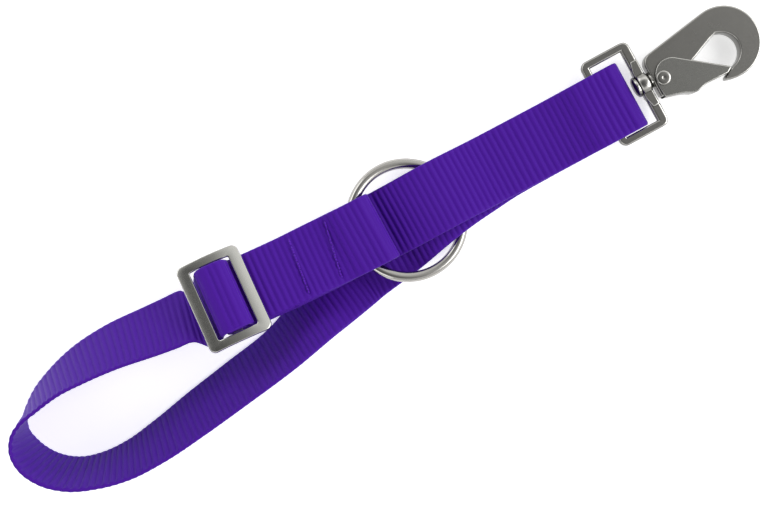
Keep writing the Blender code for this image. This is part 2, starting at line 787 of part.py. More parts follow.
def make_rivet(finish, holder):
    """Rivet with two domed heads, clear of the gate's cheeks."""
    seat = HOOK_THICKNESS / 2 + GATE_WALL + 2 * GAP
    top = seat + RIVET_HEAD_THICKNESS
    side = [(-top, 0), (-top, RIVET_HEAD_RADIUS * 0.7), (-seat - 0.0001, RIVET_HEAD_RADIUS),
            (-seat, RIVET_HEAD_RADIUS), (-seat, RIVET_RADIUS)]
    profile = side + [(-x, radius) for x, radius in reversed(side)]
    bm = turned(profile, steps=20)
    upright = Matrix.Translation(PIVOT) @ Matrix.Rotation(math.pi / 2, 4, "Y")
    bmesh.ops.transform(bm, matrix=upright, verts=bm.verts)
    return add_object("gate_rivet", bm, finish, holder)


def make_gate_spring(finish, holder):
    """Torsion spring round the rivet: one leg bears on the hook, one inside the gate."""
    radius = RIVET_RADIUS + 0.0004 + SPRING_WIRE / 2
    pitch = SPRING_WIRE + 0.0002
    per_turn = 12
    turns = SPRING_TURNS + 0.5
    count = int(per_turn * turns)
    points = [Vector((PIVOT.x + 0.0052, PIVOT.y + radius, -pitch * turns / 2))]
    for k in range(count + 1):
        a = math.pi / 2 + 2 * math.pi * k / per_turn
        z = pitch * (k / per_turn - turns / 2)
        points.append(Vector((PIVOT.x + radius * math.cos(a), PIVOT.y + radius * math.sin(a), z)))
    points.append(Vector((PIVOT.x + 0.0072, PIVOT.y - 0.0062, pitch * turns / 2)))
    return add_object("gate_spring", tube(points, [SPRING_WIRE / 2] * len(points), 6), finish, holder)


def make_seam(name, place, side, span, finish, parent):
    """One row of stitches across the webbing: a thread that dips at each needle hole."""
    count = max(3, round(span / STITCH_LENGTH))
    points, radii = [], []
    for k in range(count):
        start = -span / 2 + span * k / count
        for share, size in ((0.08, 0.6), (0.3, 1.0), (0.7, 1.0), (0.92, 0.6)):
            lift = HALF + 1.6 * GAP + THREAD_RADIUS * (1.0 if size == 1.0 else 0.7)
            points.append(place @ Vector((0, start + span / count * share, side * lift)))
            radii.append(THREAD_RADIUS * size)
    return add_object(name, tube(points, radii, 6), finish, parent)


def seam_place(stations, x, skew):
    """Where a row of stitches crosses a run of stations, given the distance along X."""
    for (start, width), (end, _) in zip(stations, stations[1:]):
        if min(start.x, end.x) <= x <= max(start.x, end.x):
            break
    share = (x - start.x) / (end.x - start.x)
    point = start + (end - start) * share
    forward = (end - start).normalized()
    if forward.x < 0:
        forward = -forward
    left = -width
    up = forward.cross(left).normalized()
    axes = Matrix((forward, left, up)).transposed().to_4x4()
    return Matrix.Translation(point) @ axes @ Matrix.Rotation(math.radians(skew), 4, "Z")


def make_seams(finish, parent):
    span = STRAP_WIDTH - 0.004
    top = slider_weave_stations()[-5:] + ring_fold_stations()[:1]
    make_seam("ring_seam_outer", seam_place(top, -0.1400, -4), 1, span, finish, parent)
    make_seam("ring_seam_inner", seam_place(top, -0.1262, -8), 1, span, finish, parent)
    under = slider_end_stations()[-5:]
    make_seam("slider_seam_outer", seam_place(under, -0.1496, 0), -1, span, finish, parent)
    make_seam("slider_seam_inner", seam_place(under, -0.1540, 0), -1, span, finish, parent)


# ---------------------------------------------------------------- assembly


def build():
    clear_scene()
    bpy.context.scene.unit_settings.scale_length = 1.0
    webbing = material("violet_nylon_webbing", (0.085, 0.012, 0.33), 0.75, 0.0)
    thread = material("violet_sewing_thread", (0.095, 0.015, 0.36), 0.6, 0.0)
    nickel = material("nickel_plate", (0.36, 0.36, 0.34), 0.28, 1.0)
    bright_wire = material("polished_ring_wire", (0.40, 0.38, 0.35), 0.2, 1.0)
    spring_steel = material("spring_steel", (0.30, 0.30, 0.31), 0.35, 1.0)

    frame = add_empty("tie_strap", None, Matrix.Translation(-FRAME_ORIGIN))
    make_webbing(webbing, frame)
    make_ring(bright_wire, frame)
    make_slider(nickel, frame)
    eye = make_snap_eye(nickel, frame)
    swivel = Matrix.Translation((-EYE_BAR_X, 0, 0))
    holder = add_empty("swivel_axis", eye.parent, swivel)
    make_snap_hook(nickel, holder)
    make_gate(nickel, holder)
    make_rivet(nickel, holder)
    make_gate_spring(spring_steel, holder)
    make_seams(thread, frame)


build()
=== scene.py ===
"""Adjustable webbing tie strap with an O ring, a slider and a swivel trigger snap."""

import math

import bmesh
import bpy
from mathutils import Matrix, Vector


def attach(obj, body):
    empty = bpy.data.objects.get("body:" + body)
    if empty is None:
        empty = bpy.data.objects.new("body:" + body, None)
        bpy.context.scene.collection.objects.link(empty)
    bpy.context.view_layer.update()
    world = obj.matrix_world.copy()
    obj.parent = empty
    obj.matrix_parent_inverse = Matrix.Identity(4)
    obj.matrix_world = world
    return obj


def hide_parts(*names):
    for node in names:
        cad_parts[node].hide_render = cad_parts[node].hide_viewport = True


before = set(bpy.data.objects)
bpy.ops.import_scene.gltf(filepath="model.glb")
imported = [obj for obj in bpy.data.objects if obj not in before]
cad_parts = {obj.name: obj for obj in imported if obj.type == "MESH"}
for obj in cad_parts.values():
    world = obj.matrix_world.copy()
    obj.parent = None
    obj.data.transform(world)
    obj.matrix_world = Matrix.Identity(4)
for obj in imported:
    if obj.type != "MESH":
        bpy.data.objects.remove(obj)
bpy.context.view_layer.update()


# ---- Webbing stock -------------------------------------------------------------------
# Flat nylon webbing one inch wide, woven with heavy cross ribs and dyed violet in the
# yarn. The same stock and its dye serve the strap itself and the thread that sews it.

# Clearance between layers of webbing, and between webbing and metal.
GAP = 0.0003
STRAP_WIDTH = 0.0254
STRAP_THICKNESS = 0.0016
HALF = STRAP_THICKNESS / 2
LAYER = STRAP_THICKNESS + GAP
MM = 0.001
# From the strap's own origin, on the ground under the snap's swivel, to the frame's.
STRAP_TO_FRAME = Matrix.Translation((0.10695, 0.00719, 0.0))


def new_group(name, inputs):
    """A node group with (name, value) inputs, and a colour, roughness and height output."""
    group = bpy.data.node_groups.new(name, "ShaderNodeTree")
    kinds = {1: "NodeSocketFloat", 3: "NodeSocketVector", 4: "NodeSocketColor"}
    for label, value in inputs:
        kind = kinds[len(value) if isinstance(value, tuple) else 1]
        socket = group.interface.new_socket(name=label, in_out="INPUT", socket_type=kind)
        socket.default_value = value
    for label, size in (("Color", 4), ("Roughness", 1), ("Height", 1)):
        group.interface.new_socket(name=label, in_out="OUTPUT", socket_type=kinds[size])
    return group, group.nodes.new("NodeGroupInput"), group.nodes.new("NodeGroupOutput")


def math_node(tree, operation, a, b=None, c=None, clamp=False):
    node = tree.nodes.new("ShaderNodeMath")
    node.operation = operation
    node.use_clamp = clamp
    for socket, value in zip(node.inputs, (a, b, c)):
        if value is None:
            continue
        if isinstance(value, (int, float)):
            socket.default_value = value
        else:
            tree.links.new(value, socket)
    return node.outputs[0]


def mix_colour(tree, share, first, second, blend="MIX"):
    node = tree.nodes.new("ShaderNodeMix")
    node.data_type = "RGBA"
    node.blend_type = blend
    # Sockets 6 and 7 are the node's two colours.
    for spot, value in ((0, share), (6, first), (7, second)):
        socket = node.inputs[spot]
        if isinstance(value, (int, float)):
            socket.default_value = value
        elif isinstance(value, tuple):
            socket.default_value = (*value, 1.0)
        else:
            tree.links.new(value, socket)
    return node.outputs[2]


def noise(tree, scale, detail, vector, roughness=0.5):
    node = tree.nodes.new("ShaderNodeTexNoise")
    node.inputs["Scale"].default_value = scale
    node.inputs["Detail"].default_value = detail
    node.inputs["Roughness"].default_value = roughness
    tree.links.new(vector, node.inputs["Vector"])
    return node.outputs[0]


def drawn_noise(tree, scale, detail, vector, roughness=0.5, turn=0.0):
    """Noise drawn out by a different scale along each axis."""
    mapping = tree.nodes.new("ShaderNodeMapping")
    mapping.inputs["Scale"].default_value = scale
    mapping.inputs["Rotation"].default_value = (0.0, 0.0, turn)
    tree.links.new(vector, mapping.inputs["Vector"])
    return noise(tree, 1.0, detail, mapping.outputs[0], roughness)


def shaded(tree, colour, brightness):
    """A colour multiplied by one brightness."""
    grey = tree.nodes.new("ShaderNodeCombineColor")
    for socket in grey.inputs:
        tree.links.new(brightness, socket)
    return mix_colour(tree, 1.0, colour, grey.outputs[0], "MULTIPLY")


def finish_with(name, effect, values, relief, strength):
    """A material whose colour, roughness and relief come from one effect group."""
    finish = bpy.data.materials.new(name)
    finish.use_nodes = True
    tree = finish.node_tree
    shader = tree.nodes["Principled BSDF"]
    surface = tree.nodes.new("ShaderNodeGroup")
    surface.node_tree = effect
    for label, value in values.items():
        plain = (*value, 1.0) if isinstance(value, tuple) else value
        surface.inputs[label].default_value = plain
    bump = tree.nodes.new("ShaderNodeBump")
    bump.inputs["Distance"].default_value = relief
    bump.inputs["Strength"].default_value = strength
    tree.links.new(surface.outputs["Height"], bump.inputs["Height"])
    tree.links.new(surface.outputs["Color"], shader.inputs["Base Color"])
    tree.links.new(surface.outputs["Roughness"], shader.inputs["Roughness"])
    tree.links.new(bump.outputs[0], shader.inputs["Normal"])
    return finish, shader, surface


def ribbed_weave_group():
    """Ribbed webbing: U counts ribs along it and V runs across it from 0 to 1."""
    group, given, result = new_group(
        "ribbed_weave",
        [
            ("Along and Across", (0.0, 0.0, 0.0)),
            ("Lit Crest", (1.0, 1.0, 1.0, 1.0)),
            ("Shaded Groove", (0.0, 0.0, 0.0, 1.0)),
            ("Yarns Across", 40.0),
            ("Bend and Edge Shade", 0.0),
        ],
    )
    place = given.outputs["Along and Across"]
    split = group.nodes.new("ShaderNodeSeparateXYZ")
    group.links.new(place, split.inputs[0])
    turns = math_node(group, "MULTIPLY", split.outputs[0], 2 * math.pi)
    rib = math_node(group, "MULTIPLY_ADD", math_node(group, "COSINE", turns), 0.5, 0.5)
    crest = math_node(group, "POWER", rib, 0.5)
    # Warp yarns run along the strap; each one crosses a rib as a short bead.
    yarns = math_node(group, "MULTIPLY", split.outputs[1], given.outputs["Yarns Across"])
    yarn_angle = math_node(group, "MULTIPLY", yarns, 2 * math.pi)
    yarn = math_node(group, "ABSOLUTE", math_node(group, "SINE", yarn_angle))
    lot = drawn_noise(group, (0.9, 9.0, 1.0), 3.0, place)
    fibre = drawn_noise(group, (7.0, 60.0, 1.0), 4.0, place, 0.7)
    bead = math_node(group, "MULTIPLY_ADD", yarn, 0.35, 0.65)
    beads = math_node(group, "MULTIPLY", crest, bead)
    lit = math_node(group, "MULTIPLY_ADD", fibre, 0.7, -0.35)
    uneven = math_node(group, "ADD", beads, lit, clamp=True)
    # Painted shade: where the strap turns sharply round a bar or a fold, and along its selvedges,
    # the colour goes over to the shaded groove colour.
    unshaded_share = math_node(group, "SUBTRACT", 1.0, given.outputs["Bend and Edge Shade"], clamp=True)
    share = math_node(group, "MULTIPLY", uneven, unshaded_share)
    # Painted highlight and shade: the colour mixes from the shaded groove colour, in the grooves
    # and between the yarn beads, to the lit crest colour on the crests.
    colour = mix_colour(group, share, given.outputs["Shaded Groove"], given.outputs["Lit Crest"])
    shade = math_node(group, "MULTIPLY_ADD", lot, 0.24, 0.88)
    group.links.new(shaded(group, colour, shade), result.inputs["Color"])
    height = math_node(group, "MULTIPLY_ADD", fibre, 0.35, yarn)
    group.links.new(height, result.inputs["Height"])
    rough = math_node(group, "MULTIPLY_ADD", fibre, 0.2, 0.52)
    group.links.new(rough, result.inputs["Roughness"])
    return group


RIBBED_WEAVE = ribbed_weave_group()


def dyed_nylon(name, crest, groove, yarns, relief):
    """Violet nylon; the weave group gives its colour, roughness and yarn relief."""
    values = {"Lit Crest": crest, "Shaded Groove": groove, "Yarns Across": yarns}
    finish, shader, weave = finish_with(name, RIBBED_WEAVE, values, relief, 0.8)
    shader.inputs["Sheen Weight"].default_value = 0.20
    shader.inputs["Sheen Roughness"].default_value = 0.35
    shader.inputs["Sheen Tint"].default_value = (0.75, 0.72, 1.0, 1.0)
    shader.inputs["Specular IOR Level"].default_value = 0.14
    tree = finish.node_tree
    place = tree.nodes.new("ShaderNodeUVMap")
    place.uv_map = "weave"
    tree.links.new(place.outputs[0], weave.inputs["Along and Across"])
    # Painted shade on sharp bends and along the selvedges, read from the mesh.
    bend_and_edge_shade = tree.nodes.new("ShaderNodeAttribute")
    bend_and_edge_shade.attribute_name = "bend_and_edge_shade"
    tree.links.new(bend_and_edge_shade.outputs["Fac"], weave.inputs["Bend and Edge Shade"])
    return finish


# Each crest colour is the nylon as lit on its ribs; each groove colour is a painted shade of it.
VIOLET_WEBBING = dyed_nylon(
    "violet_webbing", (0.180, 0.024, 0.74), (0.032, 0.0006, 0.19), yarns=21.0, relief=0.00010
)
VIOLET_THREAD = dyed_nylon(
    "violet_thread", (0.140, 0.020, 0.57), (0.075, 0.005, 0.35), yarns=3.0, relief=0.00006
)


# ---- O ring --------------------------------------------------------------------------
# A ring of drawn steel wire, butt welded, ground at the weld and nickel plated. One arc
# is held in the sewn fold of the webbing; the other lies under two layers of it.

RING_INSIDE = 0.0374
RING_WIRE = 0.0038
RING_FOLD_ROOM = 0.0010
RING_RADIUS = (RING_INSIDE + RING_WIRE) / 2
RING_CENTRE_X = -0.0981
RING_CENTRE_Y = -0.0015
# Y of the fold that holds the ring.
RUN_Y = 0.0011


def ring_setback():
    """How far the held arc curves back between its middle and the webbing's far edge."""
    half_chord = STRAP_WIDTH / 2 + RUN_Y - RING_CENTRE_Y
    return RING_RADIUS - math.sqrt(RING_RADIUS**2 - half_chord**2)


def ring_heights():
    """Wire centre heights: the free arc on the ground, and the arc held in the fold."""
    low = RING_WIRE / 2
    level = HALF + 2 * LAYER + HALF + RING_FOLD_ROOM + RING_WIRE / 2
    # The tilted ring is lower where it leaves the fold at the webbing's edges.
    share = ring_setback() / (2 * RING_RADIUS)
    high = (level - share * low) / (1 - share)
    return low, high


def ring_tilt():
    low, high = ring_heights()
    return math.asin((high - low) / (2 * RING_RADIUS))


def ring_arc_x(side):
    """X of the wire's centre on the free arc (side 1) or on the held arc (side -1)."""
    return RING_CENTRE_X + side * RING_RADIUS * math.cos(ring_tilt())


def plated_metal_group():
    """Slight unevenness of plated metal: cloudy tint and soft scratches, with a painted highlight
    on rolled edges and painted shade on steep sides.
    """
    group, given, result = new_group(
        "plated_metal",
        [
            ("Metal", (0.5, 0.5, 0.5, 1.0)),
            ("Cloudiness", 0.2),
            ("Smoothness", 0.2),
            ("Scratches", 0.5),
            ("Edge Highlight and Side Shade", 0.0),
        ],
    )
    around = group.nodes.new("ShaderNodeTexCoord")
    place = around.outputs["Object"]
    cloud = noise(group, 140.0, 3.0, place)
    grain = noise(group, 900.0, 4.0, place, 0.6)
    scratch = drawn_noise(group, (160.0, 2600.0, 700.0), 2.0, place, 0.6, turn=0.5)
    dull = math_node(group, "MULTIPLY", cloud, given.outputs["Cloudiness"])
    toned = shaded(group, given.outputs["Metal"], math_node(group, "SUBTRACT", 1.0, dull))
    # Painted highlight on the shoulder of a rolled edge and painted shade on the steep sides, from
    # the tilt of the face in the piece's own axes.
    facing = group.nodes.new("ShaderNodeSeparateXYZ")
    group.links.new(around.outputs["Normal"], facing.inputs[0])
    level = math_node(group, "ABSOLUTE", facing.outputs["Z"])
    off_flat = math_node(group, "MULTIPLY_ADD", level, -20.0, 19.7, clamp=True)
    off_side = math_node(group, "MULTIPLY_ADD", level, 8.0, -6.4, clamp=True)
    shoulder = math_node(group, "MULTIPLY", off_flat, off_side)
    edge_highlight_share = math_node(group, "MULTIPLY", shoulder, given.outputs["Edge Highlight and Side Shade"])
    steep = math_node(group, "MULTIPLY_ADD", level, -3.0, 2.3, clamp=True)
    side_shade_share = math_node(group, "MULTIPLY", steep, given.outputs["Edge Highlight and Side Shade"])
    # Dark grey is the painted side shade and pale grey the painted edge highlight.
    side_shaded = mix_colour(group, side_shade_share, toned, (0.09, 0.088, 0.082))
    edge_highlighted = mix_colour(group, edge_highlight_share, side_shaded, (0.80, 0.79, 0.76))
    group.links.new(edge_highlighted, result.inputs["Color"])
    uneven = math_node(group, "MULTIPLY_ADD", grain, 0.10, given.outputs["Smoothness"])
    hazy = math_node(group, "MULTIPLY_ADD", dull, 0.35, uneven)
    group.links.new(hazy, result.inputs["Roughness"])
    marks = math_node(group, "MULTIPLY", scratch, given.outputs["Scratches"])
    relief = math_node(group, "MULTIPLY_ADD", cloud, 0.5, marks)
    group.links.new(relief, result.inputs["Height"])
    return group


PLATED_METAL = plated_metal_group()


def plated(name, colour, smoothness, cloudiness, scratches, relief, edge_highlight_and_side_shade=0.0):
    """A metal finish; the plated metal group gives its colour, roughness and relief."""
    values = {
        "Metal": colour,
        "Smoothness": smoothness,
        "Cloudiness": cloudiness,
        "Scratches": scratches,
        "Edge Highlight and Side Shade": edge_highlight_and_side_shade,
    }
    finish, shader, _ = finish_with(name, PLATED_METAL, values, relief, 0.5)
    shader.inputs["Metallic"].default_value = 1.0
    return finish


def add_piece(name, bm, matrix, finish, smooth_angle=35):
    """Moves a bmesh to its place in the frame and makes it an object with one finish."""
    bmesh.ops.transform(bm, matrix=STRAP_TO_FRAME @ matrix, verts=bm.verts)
    bmesh.ops.recalc_face_normals(bm, faces=bm.faces)
    mesh = bpy.data.meshes.new(name)
    bm.to_mesh(mesh)
    bm.free()
    mesh.materials.append(finish)
    mesh.shade_smooth()
    mesh.set_sharp_from_angle(angle=math.radians(smooth_angle))
    piece = bpy.data.objects.new(name, mesh)
    bpy.context.scene.collection.objects.link(piece)
    return piece


def stand_for(piece, node, body):
    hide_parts(node)
    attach(piece, body)


def skin(rings, closed=False):
    """Joins rings of points into a bmesh; an open run is capped at both ends."""
    bm = bmesh.new()
    loops = [[bm.verts.new(point) for point in ring] for ring in rings]
    pairs = list(zip(loops, loops[1:]))
    if closed:
        pairs.append((loops[-1], loops[0]))
    for low, high in pairs:
        for k in range(len(low)):
            j = (k + 1) % len(low)
            bm.faces.new((low[k], low[j], high[j], high[k]))
    if not closed:
        bm.faces.new(list(reversed(loops[0])))
        bm.faces.new(loops[-1])
    return bm


def ring_wire():
    """The wire ring, a little thinner where it was welded and ground."""
    around, section = 160, 28
    rings = []
    for k in range(around):
        a = 2 * math.pi * k / around
        out = Vector((math.cos(a), math.sin(a), 0))
        weld = math.exp(-(((a - math.pi) / 0.05) ** 2))
        wire = RING_WIRE / 2 * (1 - 0.01 * weld)
        ring = []
        for j in range(section):
            b = 2 * math.pi * j / section
            reach = RING_RADIUS + wire * math.cos(b)
            ring.append(out * reach + Vector((0, 0, wire * math.sin(b))))
        rings.append(ring)
    return skin(rings, closed=True)


ring_centre = (RING_CENTRE_X, RING_CENTRE_Y, sum(ring_heights()) / 2)
ring_place = Matrix.Translation(ring_centre) @ Matrix.Rotation(ring_tilt(), 4, "Y")
POLISHED_WIRE = plated(
    "polished_wire",
    (0.43, 0.42, 0.40),
    smoothness=0.11,
    cloudiness=0.12,
    scratches=0.3,
    relief=0.00001,
)
ring = add_piece("ring_wire", ring_wire(), ring_place, POLISHED_WIRE)
stand_for(ring, "o_ring", "ring")


# ---- Slider --------------------------------------------------------------------------
# A frame stamped from steel strip, arched along its width and deburred, with one bar
# across its middle. The webbing's end is sewn round the bar and the loop weaves over it.

SLIDER_SLOT_PLAY = 0.0021
SLIDER_SIDE_BAR = 0.0044
SLIDER_END_BAR = 0.0034
SLIDER_CENTRE_BAR = 0.0042
SLIDER_THICKNESS = 0.0018
SLIDER_ARCH = 0.0016
# How far the arched frame lies below the centre bar's middle plane at its ends.
SLIDER_DROP = SLIDER_ARCH * 0.3
SLIDER_INNER_CORNER = 0.0008
SLIDER_OUTER_CORNER = 0.0024
SLIDER_SLOT_ROOM = 0.0012
SLIDER_SLOT = 2 * STRAP_THICKNESS + SLIDER_SLOT_PLAY
SLIDER_WIDTH = 2 * SLIDER_SIDE_BAR + SLIDER_CENTRE_BAR + 2 * SLIDER_SLOT
SLIDER_LENGTH = STRAP_WIDTH + SLIDER_SLOT_ROOM + 2 * SLIDER_END_BAR
SLIDER_CENTRE = Vector((-0.1684, 0.0048, 0.0176))
SLIDER_YAW = math.radians(-4.0)
SLIDER_PITCH = math.radians(5.4)
SLIDER_LEAN = math.radians(12.0)


def slider_frame():
    """Where the slider sits, before it leans over sideways about the line of the run."""
    return (
        Matrix.Translation(SLIDER_CENTRE)
        @ Matrix.Rotation(SLIDER_YAW, 4, "Z")
        @ Matrix.Rotation(SLIDER_PITCH, 4, "Y")
    )


def rounded_loop(length_x, length_y, corner, steps, straight):
    """Centre line of a rounded rectangle, as (x, y, direction angle)."""
    loop = []
    hx, hy = length_x / 2 - corner, length_y / 2 - corner
    for quarter, (cx, cy) in enumerate([(hx, hy), (-hx, hy), (-hx, -hy), (hx, -hy)]):
        for k in range(steps + 1):
            a = math.pi / 2 * (quarter + k / steps)
            loop.append((cx + corner * math.cos(a), cy + corner * math.sin(a), a))
        nx, ny = [(-hx, hy), (-hx, -hy), (hx, -hy), (hx, hy)][quarter]
        a = math.pi / 2 * (quarter + 1)
        start = (cx + corner * math.cos(a), cy + corner * math.sin(a))
        end = (nx + corner * math.cos(a), ny + corner * math.sin(a))
        for k in range(1, straight):
            t = k / straight
            x = start[0] + (end[0] - start[0]) * t
            y = start[1] + (end[1] - start[1]) * t
            loop.append((x, y, a))
    return loop


def rounded_bar(shoulder, edge, steps):
    """Section of a flat bar with rolled edges, as (across, up) pairs from -1 to 1."""
    corners = [(1 - shoulder, 1 - edge), (-(1 - shoulder), 1 - edge)]
    corners += [(-(1 - shoulder), -(1 - edge)), (1 - shoulder, -(1 - edge))]
    section = []
    for quarter, (u, v) in enumerate(corners):
        for k in range(steps + 1):
            a = math.pi / 2 * (quarter + k / steps)
            section.append((u + shoulder * math.cos(a), v + edge * math.sin(a)))
    return section


def stamped_frame():
    """The arched frame with its two slots still joined, and rolled edges."""
    inside_x = SLIDER_WIDTH - 2 * SLIDER_SIDE_BAR
    inside_y = SLIDER_LENGTH - 2 * SLIDER_END_BAR
    steps, straight = 10, 18
    inner = rounded_loop(inside_x, inside_y, SLIDER_INNER_CORNER, steps, straight)
    outer = rounded_loop(SLIDER_WIDTH, SLIDER_LENGTH, SLIDER_OUTER_CORNER, steps, straight)
    section = rounded_bar(shoulder=0.22, edge=0.55, steps=5)
    rings = []
    for (inner_x, inner_y, _), (outer_x, outer_y, _) in zip(inner, outer):
        near, far = Vector((inner_x, inner_y, 0)), Vector((outer_x, outer_y, 0))
        ring = []
        for u, v in section:
            point = near.lerp(far, (u + 1) / 2)
            rise = SLIDER_ARCH * (1 - (2 * point.x / SLIDER_WIDTH) ** 2) - SLIDER_DROP
            ring.append(point + Vector((0, 0, rise + SLIDER_THICKNESS / 2 * v)))
        rings.append(ring)
    return skin(rings, closed=True)


def centre_bar():
    """The bar across the middle, which runs a little way into the frame at each end."""
    reach = SLIDER_LENGTH / 2 - SLIDER_END_BAR * 0.55
    section = rounded_bar(shoulder=0.25, edge=0.5, steps=5)
    half, lip = SLIDER_CENTRE_BAR / 2, SLIDER_THICKNESS / 2
    return skin([[(u * half, y, v * lip) for u, v in section] for y in (-reach, reach)])


def joined(pieces_given):
    """One bmesh that holds all the bmeshes given."""
    whole = bmesh.new()
    for bm in pieces_given:
        mesh = bpy.data.meshes.new("joining")
        bm.to_mesh(mesh)
        bm.free()
        whole.from_mesh(mesh)
        bpy.data.meshes.remove(mesh)
    return whole


NICKEL_STRIP = plated(
    "nickel_strip",
    (0.55, 0.55, 0.52),
    smoothness=0.15,
    cloudiness=0.07,
    scratches=0.35,
    relief=0.000006,
)
slider_place = slider_frame() @ Matrix.Rotation(-SLIDER_LEAN, 4, "X")
slider_mesh = joined([stamped_frame(), centre_bar()])
slider = add_piece("slider_frame", slider_mesh, slider_place, NICKEL_STRIP, 60)
stand_for(slider, "slider", "strap")


# ---- Snap eye ------------------------------------------------------------------------
# A cast square eye with a boss in its swivel bar, nickel plated. Its far bar lies loose
# in an open fold of the webbing and the hook's shank turns in the boss.

HOOK_THICKNESS = 0.0060
GATE_WALL = 0.0008
RIVET_HEAD_THICKNESS = 0.0006
EYE_INSIDE_LENGTH = 0.0126
EYE_BAR = 0.0030
EYE_SWIVEL_BAR = 0.0038
EYE_SIDE_ROOM = 0.0026
EYE_BOSS_RADIUS = 0.0042
EYE_BAR_X = -0.0157
EYE_CENTRE_Y = 0.0010
SNAP_HEIGHT = HOOK_THICKNESS / 2 + 2 * GAP + GATE_WALL + RIVET_HEAD_THICKNESS
SHANK_RADIUS = 0.0024
SHANK_CLEARANCE = 0.0003
GUSSET_HALF_HEIGHT = 0.0021
# How far the boss stands out past the swivel bar, on either side.
BOSS_PROUD = 0.0001

# This finish carries a painted highlight on its rolled edges and painted shade on its steep sides.
NICKEL_CASTING = plated(
    "nickel_casting",
    (0.36, 0.355, 0.335),
    smoothness=0.15,
    cloudiness=0.30,
    scratches=0.35,
    relief=0.00003,
    edge_highlight_and_side_shade=0.75,
)


def turned(profile, steps):
    """A closed body turned about X from (x, radius) pairs, with a point at each end."""
    bm = bmesh.new()
    first = bm.verts.new((profile[0][0], 0, 0))
    last = bm.verts.new((profile[-1][0], 0, 0))
    circle = [2 * math.pi * k / steps for k in range(steps)]
    rings = []
    for x, radius in profile[1:-1]:
        points = [(x, radius * math.cos(a), radius * math.sin(a)) for a in circle]
        rings.append([bm.verts.new(point) for point in points])
    for k in range(steps):
        j = (k + 1) % steps
        bm.faces.new((first, rings[0][j], rings[0][k]))
        bm.faces.new((last, rings[-1][k], rings[-1][j]))
        for low, high in zip(rings, rings[1:]):
            bm.faces.new((low[k], low[j], high[j], high[k]))
    return bm


def prism(outline, low, high):
    """A flat outline, as (x, y) pairs, extruded from z = low to z = high."""
    return skin([[(x, y, z) for x, y in outline] for z in (low, high)])


def settle(piece):
    """Turns a piece's modifiers into plain mesh."""
    graph = bpy.context.evaluated_depsgraph_get()
    made = bpy.data.meshes.new_from_object(piece.evaluated_get(graph))
    old = piece.data
    piece.modifiers.clear()
    piece.data = made
    made.name = piece.name
    bpy.data.meshes.remove(old)


def soften(piece, width, segments):
    """Rolls a piece's edges."""
    modifier = piece.modifiers.new("soft_edges", "BEVEL")
    modifier.width = width
    modifier.segments = segments
    modifier.limit_method = "ANGLE"
    modifier.angle_limit = math.radians(40)
    modifier.use_clamp_overlap = True
    settle(piece)


def carve(piece, shape, operation="DIFFERENCE"):
    """Cuts another shape out of a piece, or joins it on, and then drops that shape."""
    modifier = piece.modifiers.new("carve", "BOOLEAN")
    modifier.operation = operation
    modifier.object = shape
    modifier.solver = "EXACT"
    settle(piece)
    mesh = shape.data
    bpy.data.objects.remove(shape)
    bpy.data.meshes.remove(mesh)


def smooth_again(piece, angle):
    """Smooth shading that stops where a flat cast or struck face meets its rolled edge."""
    piece.data.shade_smooth()
    piece.data.set_sharp_from_angle(angle=math.radians(angle))
    beside = {}
    for face in piece.data.polygons:
        for key in face.edge_keys:
            beside.setdefault(key, set()).add(abs(face.normal.z) > 0.9995)
    for edge in piece.data.edges:
        if len(beside.get(edge.key, ())) == 2:
            edge.use_edge_sharp = True


eye_length = EYE_INSIDE_LENGTH + EYE_BAR / 2 + EYE_SWIVEL_BAR / 2
eye_place = Matrix.Translation((EYE_BAR_X, EYE_CENTRE_Y, SNAP_HEIGHT))


def eye_loop():
    """The eye's bars: a facetted section with a flat top, heavier in the swivel bar."""
    eye_width = STRAP_WIDTH + EYE_SIDE_ROOM + EYE_BAR
    loop = rounded_loop(eye_length, eye_width, corner=0.0012, steps=6, straight=10)
    section = rounded_bar(shoulder=0.5, edge=0.5, steps=6)
    rings = []
    for x, y, a in loop:
        out = Vector((math.cos(a), math.sin(a), 0))
        swell = max(0.0, min(1.0, (math.cos(a) - 0.3) / 0.5))
        half_width = (EYE_BAR + (EYE_SWIVEL_BAR - EYE_BAR) * swell) / 2
        centre = Vector((x + eye_length / 2, y, 0))
        ring = []
        for u, v in section:
            ring.append(centre + out * half_width * u + Vector((0, 0, EYE_BAR / 2 * v)))
        rings.append(ring)
    return skin(rings, closed=True)


eye_start = eye_length - EYE_SWIVEL_BAR / 2 - BOSS_PROUD
eye_end = eye_length + EYE_SWIVEL_BAR / 2 + BOSS_PROUD
eye = add_piece("snap_eye_casting", eye_loop(), eye_place, NICKEL_CASTING)
half_web = [(eye_end - 0.0002, 0.0092), (eye_start + 0.0010, 0.0092), (eye_start, 0.0050)]
web = half_web + [(x, -y) for x, y in reversed(half_web)]
gusset_mesh = prism(web, -GUSSET_HALF_HEIGHT, GUSSET_HALF_HEIGHT)
gusset = add_piece("eye_gusset", gusset_mesh, eye_place, NICKEL_CASTING)
soften(gusset, width=0.0006, segments=3)
carve(eye, gusset, "UNION")
